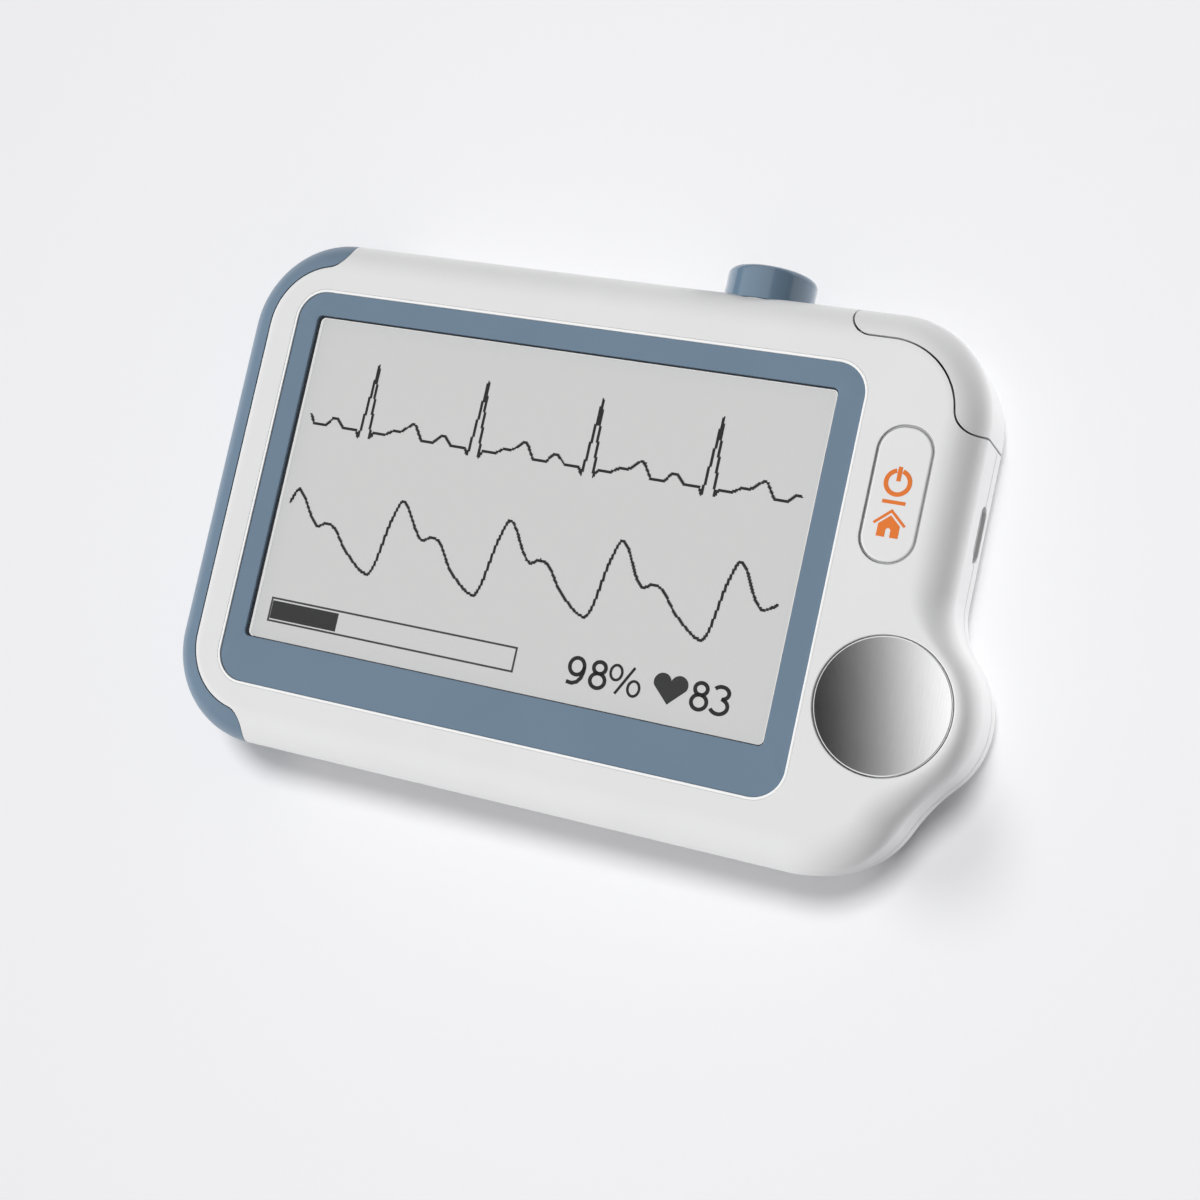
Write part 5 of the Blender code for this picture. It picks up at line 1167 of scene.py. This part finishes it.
def block(left, right, low, high):
    return on_screen([(left, low), (right, low), (right, high), (left, high)])


def bar():
    line = 0.21
    frame_path = block(-28.35, 1.2, -15.66, -13.18)
    strokes("screen_bar_outline", [(frame_path, line, True)], ink_line)
    fill = block(-28.2, -19.98, -15.42, -13.44)
    strokes("screen_bar_and_heart", [], ink_grey, [fill, heart_outline()])


def icons():
    """Power sign, bar and house on the button's face."""
    x = 32.05
    lines = (
        (oval((x, 10.85), 1.17, 1.17, 105, 435, 48), 0.44),
        ([(x, 10.98), (x, 12.42)], 0.42),
        ([(30.9, 8.9), (33.2, 8.9)], 0.36),
        ([(30.5, 6.68), (x, 8.05), (33.6, 6.68)], 0.27),
    )
    door = arc((x, 6.1), 0.25, 180, 0, 10)
    house = [(x, 7.62), (30.97, 6.66), (30.97, 5.45), (31.8, 5.45), *door, (32.3, 5.45),
             (33.13, 5.45), (33.13, 6.66)]
    paths = [(line, width, False) for line, width in lines]
    strokes("button_icons", paths, print_orange, [house], 12.97, FACE, "button")


pixel_mesh("screen_heart_trace", pixels_of(heart_trace()))
pixel_mesh("screen_pulse_trace", pixels_of(smooth_path(pulse_trace())))
digits()
bar()
icons()


# Finishes of the pieces that stay as they are


def panel_glass(name):
    r = Recipe(name)
    smears = r.noise(4, 3.0)
    return r.put(Base_Color=(0.5, 0.5, 0.5, 1.0), Roughness=r.spread(smears, 0.16, 0.2), Alpha=0.02)


def lcd_glass_painted_glow(name):
    """Grey reflective display with the faint lattice of its pixels; it also glows in its own
    colour, painted light that keeps it bright under the bezel.
    """
    r = Recipe(name)
    split = r.node("SeparateXYZ", r.coordinates).outputs
    turn = 2 * PI / (PITCH * MM)
    waves = [r.math("COSINE", r.math("MULTIPLY", split[axis], turn)) for axis in "XY"]
    lattice = r.ranged(r.math("ADD", *waves), -2.0, 2.0)
    cells = r.tinted(lattice, (0.338, 0.338, 0.337), (0.358, 0.358, 0.357), FULL_SPAN)
    ripple = r.bump(r.noise(12, 2.0), 0.002)
    # The emission is painted light: the display is no lamp, and its glow stands in for light
    # falling on it.
    return r.put(Base_Color=cells, Roughness=0.6, Normal=ripple, Specular_IOR_Level=0.3,
                 Emission_Color=cells, Emission_Strength=0.75)


def circuit_board(name):
    """Green board whose tracks show through its varnish."""
    r = Recipe(name)
    tracks = r.node("TexBrick", r.scaled(500.0, 500.0, 500.0), Scale=1.0, Mortar_Size=0.05,
                    Color1=(0.012, 0.1, 0.045, 1), Color2=(0.016, 0.13, 0.055, 1),
                    Mortar=(0.06, 0.24, 0.09, 1)).outputs
    varnish = r.bump(r.noise(0.05, 2.0), 0.002)
    return r.put(Base_Color=tracks["Color"], Roughness=0.35,
                 Normal=r.bump(tracks["Fac"], 0.02, Normal=varnish))


def striped(name, colour, stripe, pitch, roughness):
    """Film with fine conductors that run along Y."""
    r = Recipe(name)
    bands = 20.0  # of the wave texture in one unit
    wave = r.node("TexWave", r.scaled(bands, bands, bands), bands_direction="X",
                  Scale=1 / (pitch * MM) / bands).outputs["Fac"]
    return r.put(Base_Color=r.tinted(wave, colour, stripe, (0.35, 0.65)), Roughness=roughness,
                 Normal=r.bump(wave, 0.01))


def foil(name):
    """Crinkled foil pouch of a flat battery."""
    r = Recipe(name)
    creases = r.noise(2.5, 5.0, roughness=0.6)
    return r.put(Base_Color=r.tinted(creases, (0.46, 0.47, 0.49), (0.6, 0.61, 0.63)), Metallic=0.85,
                 Roughness=r.spread(creases, 0.25, 0.4), Normal=r.bump(creases, 0.12))


def foam(name):
    r = Recipe(name)
    pores = r.node("TexVoronoi", r.coordinates, Scale=1 / (0.25 * MM)).outputs["Distance"]
    tint = r.tinted(pores, (0.012, 0.012, 0.014), (0.045, 0.045, 0.05), (0.0, 0.6))
    return r.put(Base_Color=tint, Roughness=0.95, Normal=r.bump(pores, 0.08))


def clear_window(name, colour):
    r = Recipe(name)
    haze = r.noise(1.5, 2.0)
    return r.put(Base_Color=r.tinted(haze, shade(colour, 0.9), shade(colour, 1.15)),
                 Roughness=r.spread(haze, 0.06, 0.1), Coat_Weight=1.0, Coat_Roughness=0.03)


def chip_face(name):
    """Black moulding compound with a fine sandy surface."""
    return moulded(name, (0.018, 0.018, 0.02), 0.55, grain=0.06, depth=0.004,
                   variation=0.08)


FINISHES = {
    "touch_panel": (panel_glass,),
    "lcd_module": (lcd_glass_painted_glow,),
    "display_foam": (foam,),
    "display_frame": (moulded, (0.2, 0.2, 0.21), 0.6),
    "display_ribbon": (striped, (0.42, 0.18, 0.04), (0.55, 0.26, 0.07), 0.5, 0.35),
    "main_board": (circuit_board,),
    "sensor_board": (circuit_board,),
    "processor_chip": (chip_face,),
    "memory_chip": (chip_face,),
    "ecg_amplifier_chip": (chip_face,),
    "radio_shield": (brushed, (0.6, 0.6, 0.6), 0.35, (30, 1, 1)),
    "ribbon_socket": (moulded, (0.7, 0.68, 0.62), 0.5),
    "battery": (foil,),
    "battery_plug": (moulded, (0.74, 0.73, 0.7), 0.5),
    "speaker": (moulded, BLACK, 0.5, 0.3, 0.01),
    "thumb_contact": (brushed, GOLD, 0.3, (20, 1, 1)),
    "back_contact": (brushed, GOLD, 0.3, (20, 1, 1)),
    "side_contact": (brushed, GOLD, 0.3, (1, 1, 20)),
    "button_switch": (moulded, BLACK, 0.5),
    "switch_plunger": (moulded, SOOT, 0.7),
    "socket_tongue": (moulded, (0.8, 0.8, 0.79), 0.45),
    "nozzle_seal": (moulded, SOOT, 0.7),
    "infrared_sensor": (brushed, (0.62, 0.62, 0.62), 0.25, (1, 20, 1)),
    "infrared_lens": (clear_window, (0.02, 0.018, 0.03)),
    "hinge_pin": (brushed, (0.62, 0.62, 0.62), 0.28, (1, 1, 20)),
    "cover_spring": (brushed, (0.58, 0.58, 0.58), 0.3, (1, 1, 1)),
    "finger_bed": (moulded, (0.028, 0.028, 0.033), 0.8, 0.15, 0.01, 0.1),
    "detector_window": (clear_window, (0.13, 0.01, 0.012)),
    "emitter_window": (clear_window, (0.13, 0.01, 0.012)),
    "emitter_led": (moulded, (0.7, 0.55, 0.3), 0.3),
    "photodiode": (moulded, (0.02, 0.02, 0.025), 0.3),
}


def paint(node, material):
    held = frame["nodes"][node].data.materials
    held.clear()
    held.append(material)


for node, (make, *look) in FINISHES.items():
    paint(node, make(f"{node}_finish", *look))
for number in range(1, 5):
    paint(f"board_screw_{number}", screw_steel)
    paint(f"frame_screw_{number}", screw_steel)


# Stage, light and camera

BACKGROUND = (0.82, 0.812, 0.847)
FLOOR_SIZE = 3.0  # metres
AMBIENT = 0.25
WHITE_PIECES = ("front_case", "rear_case", "clip_cover")
# Degrees from straight up toward +X, and how bright the studio looks there in a reflection
STUDIO_BANDS = ((-90, 0.1), (-72, 0.15), (-66, 0.8), (12, 0.8), (19, 0.17), (66, 0.17), (72, 0.72),
                (90, 0.85))
# How bright the card over the thumb plate is along its length
CARD_BANDS = ((0.0, 0.02), (0.17, 0.075), (0.335, 0.172), (0.5, 0.335), (0.665, 0.58), (0.83, 0.86),
              (1.0, 1.1))


def greys(bands):
    return [(position, (level, level, level)) for position, level in bands]


def floor_material():
    """Pale paper with a painted falloff of light: lighter round the object and a little darker far
    from it.
    """
    near, far = 0.02, 0.15  # metres
    r = Recipe("floor_paper")
    distance = r.node("VectorMath", r.coordinates, operation="LENGTH").outputs["Value"]
    # Painted light: the tint by distance stands in for the lamps' light falling off away from the
    # object.
    tint = r.tinted(r.ranged(distance, near, far), (0.895, 0.895, 0.908), (0.835, 0.832, 0.862),
                    FULL_SPAN)
    return r.put(Base_Color=tint, Roughness=0.9, Specular_IOR_Level=0.0,
                 Normal=r.bump(r.noise(0.6, 3.0), 0.004))


def flat_square(name, half, material):
    corners = ((-half, -half, 0), (half, -half, 0), (half, half, 0), (-half, half, 0))
    piece = add_mesh(name, lambda shape: shape.faces.new([shape.verts.new(p) for p in corners]))
    piece.data.materials.append(material)
    return piece


def sky():
    """Even light from all round; reflections show a pale studio with a darker side."""
    world = bpy.data.worlds.new("studio")
    bpy.context.scene.world = world
    world.use_nodes = True
    world.node_tree.nodes.clear()
    n = Nodes(world.node_tree)
    split = n.node("SeparateXYZ", n.node("TexCoord").outputs["Generated"]).outputs
    lean = n.ranged(n.math("ARCTAN2", split["X"], split["Z"]), -PI / 2, PI / 2)
    bands = greys(((turn + 90) / 180, level) for turn, level in STUDIO_BANDS)
    studio = n.node("Background", n.graded(lean, *bands), 1.0).outputs[0]
    ambient = n.node("Background", (1, 1, 1, 1), AMBIENT).outputs[0]
    backdrop = n.node("Background", (*BACKGROUND, 1), 1.0).outputs[0]
    path = n.node("LightPath").outputs
    seen = n.math("MAXIMUM", path["Is Camera Ray"], path["Is Transmission Ray"])
    unseen = n.node("MixShader", path["Is Glossy Ray"], ambient, studio).outputs[0]
    n.node("OutputWorld", n.node("MixShader", seen, unseen, backdrop).outputs[0])


def collection_of(name, pieces):
    made = bpy.data.collections.new(name)
    for piece in pieces:
        made.objects.link(piece)
    return made


def sun(name, toward, level, spread, lit, blockers=None, bounces=8):
    """Sun lamp that adds level to a face turned to it.

    toward points at the lamp, which lights only the pieces in lit.
    """
    way = Vector(toward).normalized()
    data = bpy.data.lights.new(name, "SUN")
    data.cycles.max_bounces = bounces
    data.energy = level * PI
    data.angle = math.radians(spread)
    light = object_of(name, data)
    light.rotation_mode = "QUATERNION"
    light.rotation_quaternion = way.to_track_quat("Z", "Y")
    light.location = way * 0.5
    light.visible_glossy = False
    light.light_linking.receiver_collection = lit
    if blockers:
        light.light_linking.blocker_collection = blockers


def lights(ground):
    """Lamps for the floor give a short shadow below the case; others model the case itself."""
    pieces = [piece for piece in bpy.context.scene.objects
              if piece.type == "MESH" and piece is not ground]
    lit = collection_of("lit_pieces", pieces)
    paper = collection_of("lit_floor", [ground])
    open_face = {"screen_bezel", "window_gasket", "touch_panel"}
    blockers = collection_of("shading_pieces", [p for p in pieces if p.name not in open_face])
    plate = collection_of("shading_plate", [bpy.data.objects["thumb_plate"]])
    white = collection_of("white_pieces", [bpy.data.objects[n] for n in WHITE_PIECES])
    sun("floor_main", (0.05, 0.32, 0.95), 0.57, 16, paper)
    sun("floor_side", (-0.45, 0.9, 1.0), 0.29, 20, paper, plate)
    sun("key", (-0.78, -0.23, 1.0), 1.0, 20, lit, blockers)
    sun("rim_right", (0.6, 0.62, -0.42), 0.8, 25, lit, lit, 0)
    sun("rim_under", (-0.45, 0.6, -0.75), 0.2, 20, white, lit, 0)
    sun("rim_low", (-0.1, -0.9, -0.42), 0.08, 25, lit, lit, 0)


def reflection_card():
    """Graded card over the thumb plate, seen only in reflections."""
    centre = (12.2 * MM, -5.9 * MM, 113.0 * MM)
    half, reach = 14.0 * MM, 11.0 * MM
    way = Vector((14.7, 3.9, 0.0)).normalized()
    r = Recipe("card_light")
    along = r.ranged(r.node("SeparateXYZ", r.coordinates).outputs["X"], -reach, reach)
    r.put(Base_Color=(0, 0, 0, 1), Emission_Color=r.graded(along, *greys(CARD_BANDS)),
          Emission_Strength=1.0, Specular_IOR_Level=0.0)
    card = flat_square("reflection_card", half, r.material)
    card.matrix_world = Matrix((
        (way.x, -way.y, 0, centre[0]), (way.y, way.x, 0, centre[1]), (0, 0, 1, centre[2]),
        (0, 0, 0, 1),
    ))
    card.visible_camera = False
    card.visible_diffuse = False
    card.visible_shadow = False
    card.visible_transmission = False


def camera():
    """The photograph's camera, solved from the bezel's and the window's corners."""
    right = Vector((0.91251, 0.21559, -0.34762))
    up = Vector((-0.17631, 0.97414, 0.14132))
    back = Vector((0.36910, -0.06767, 0.92692))
    data = bpy.data.cameras.new("photo_camera")
    data.lens = 57.39
    data.sensor_width = 36.0
    data.clip_start = 0.005
    data.clip_end = 10.0
    eye = object_of("photo_camera", data)
    matrix = Matrix((right, up, back)).transposed().to_4x4()
    matrix.translation = Vector((75.76, -18.74, 191.7)) * MM
    eye.matrix_world = matrix
    bpy.context.scene.camera = eye


ground = flat_square("floor", FLOOR_SIZE / 2, floor_material())
sky()
lights(ground)
reflection_card()
camera()
bpy.context.scene.view_settings.view_transform = "Standard"
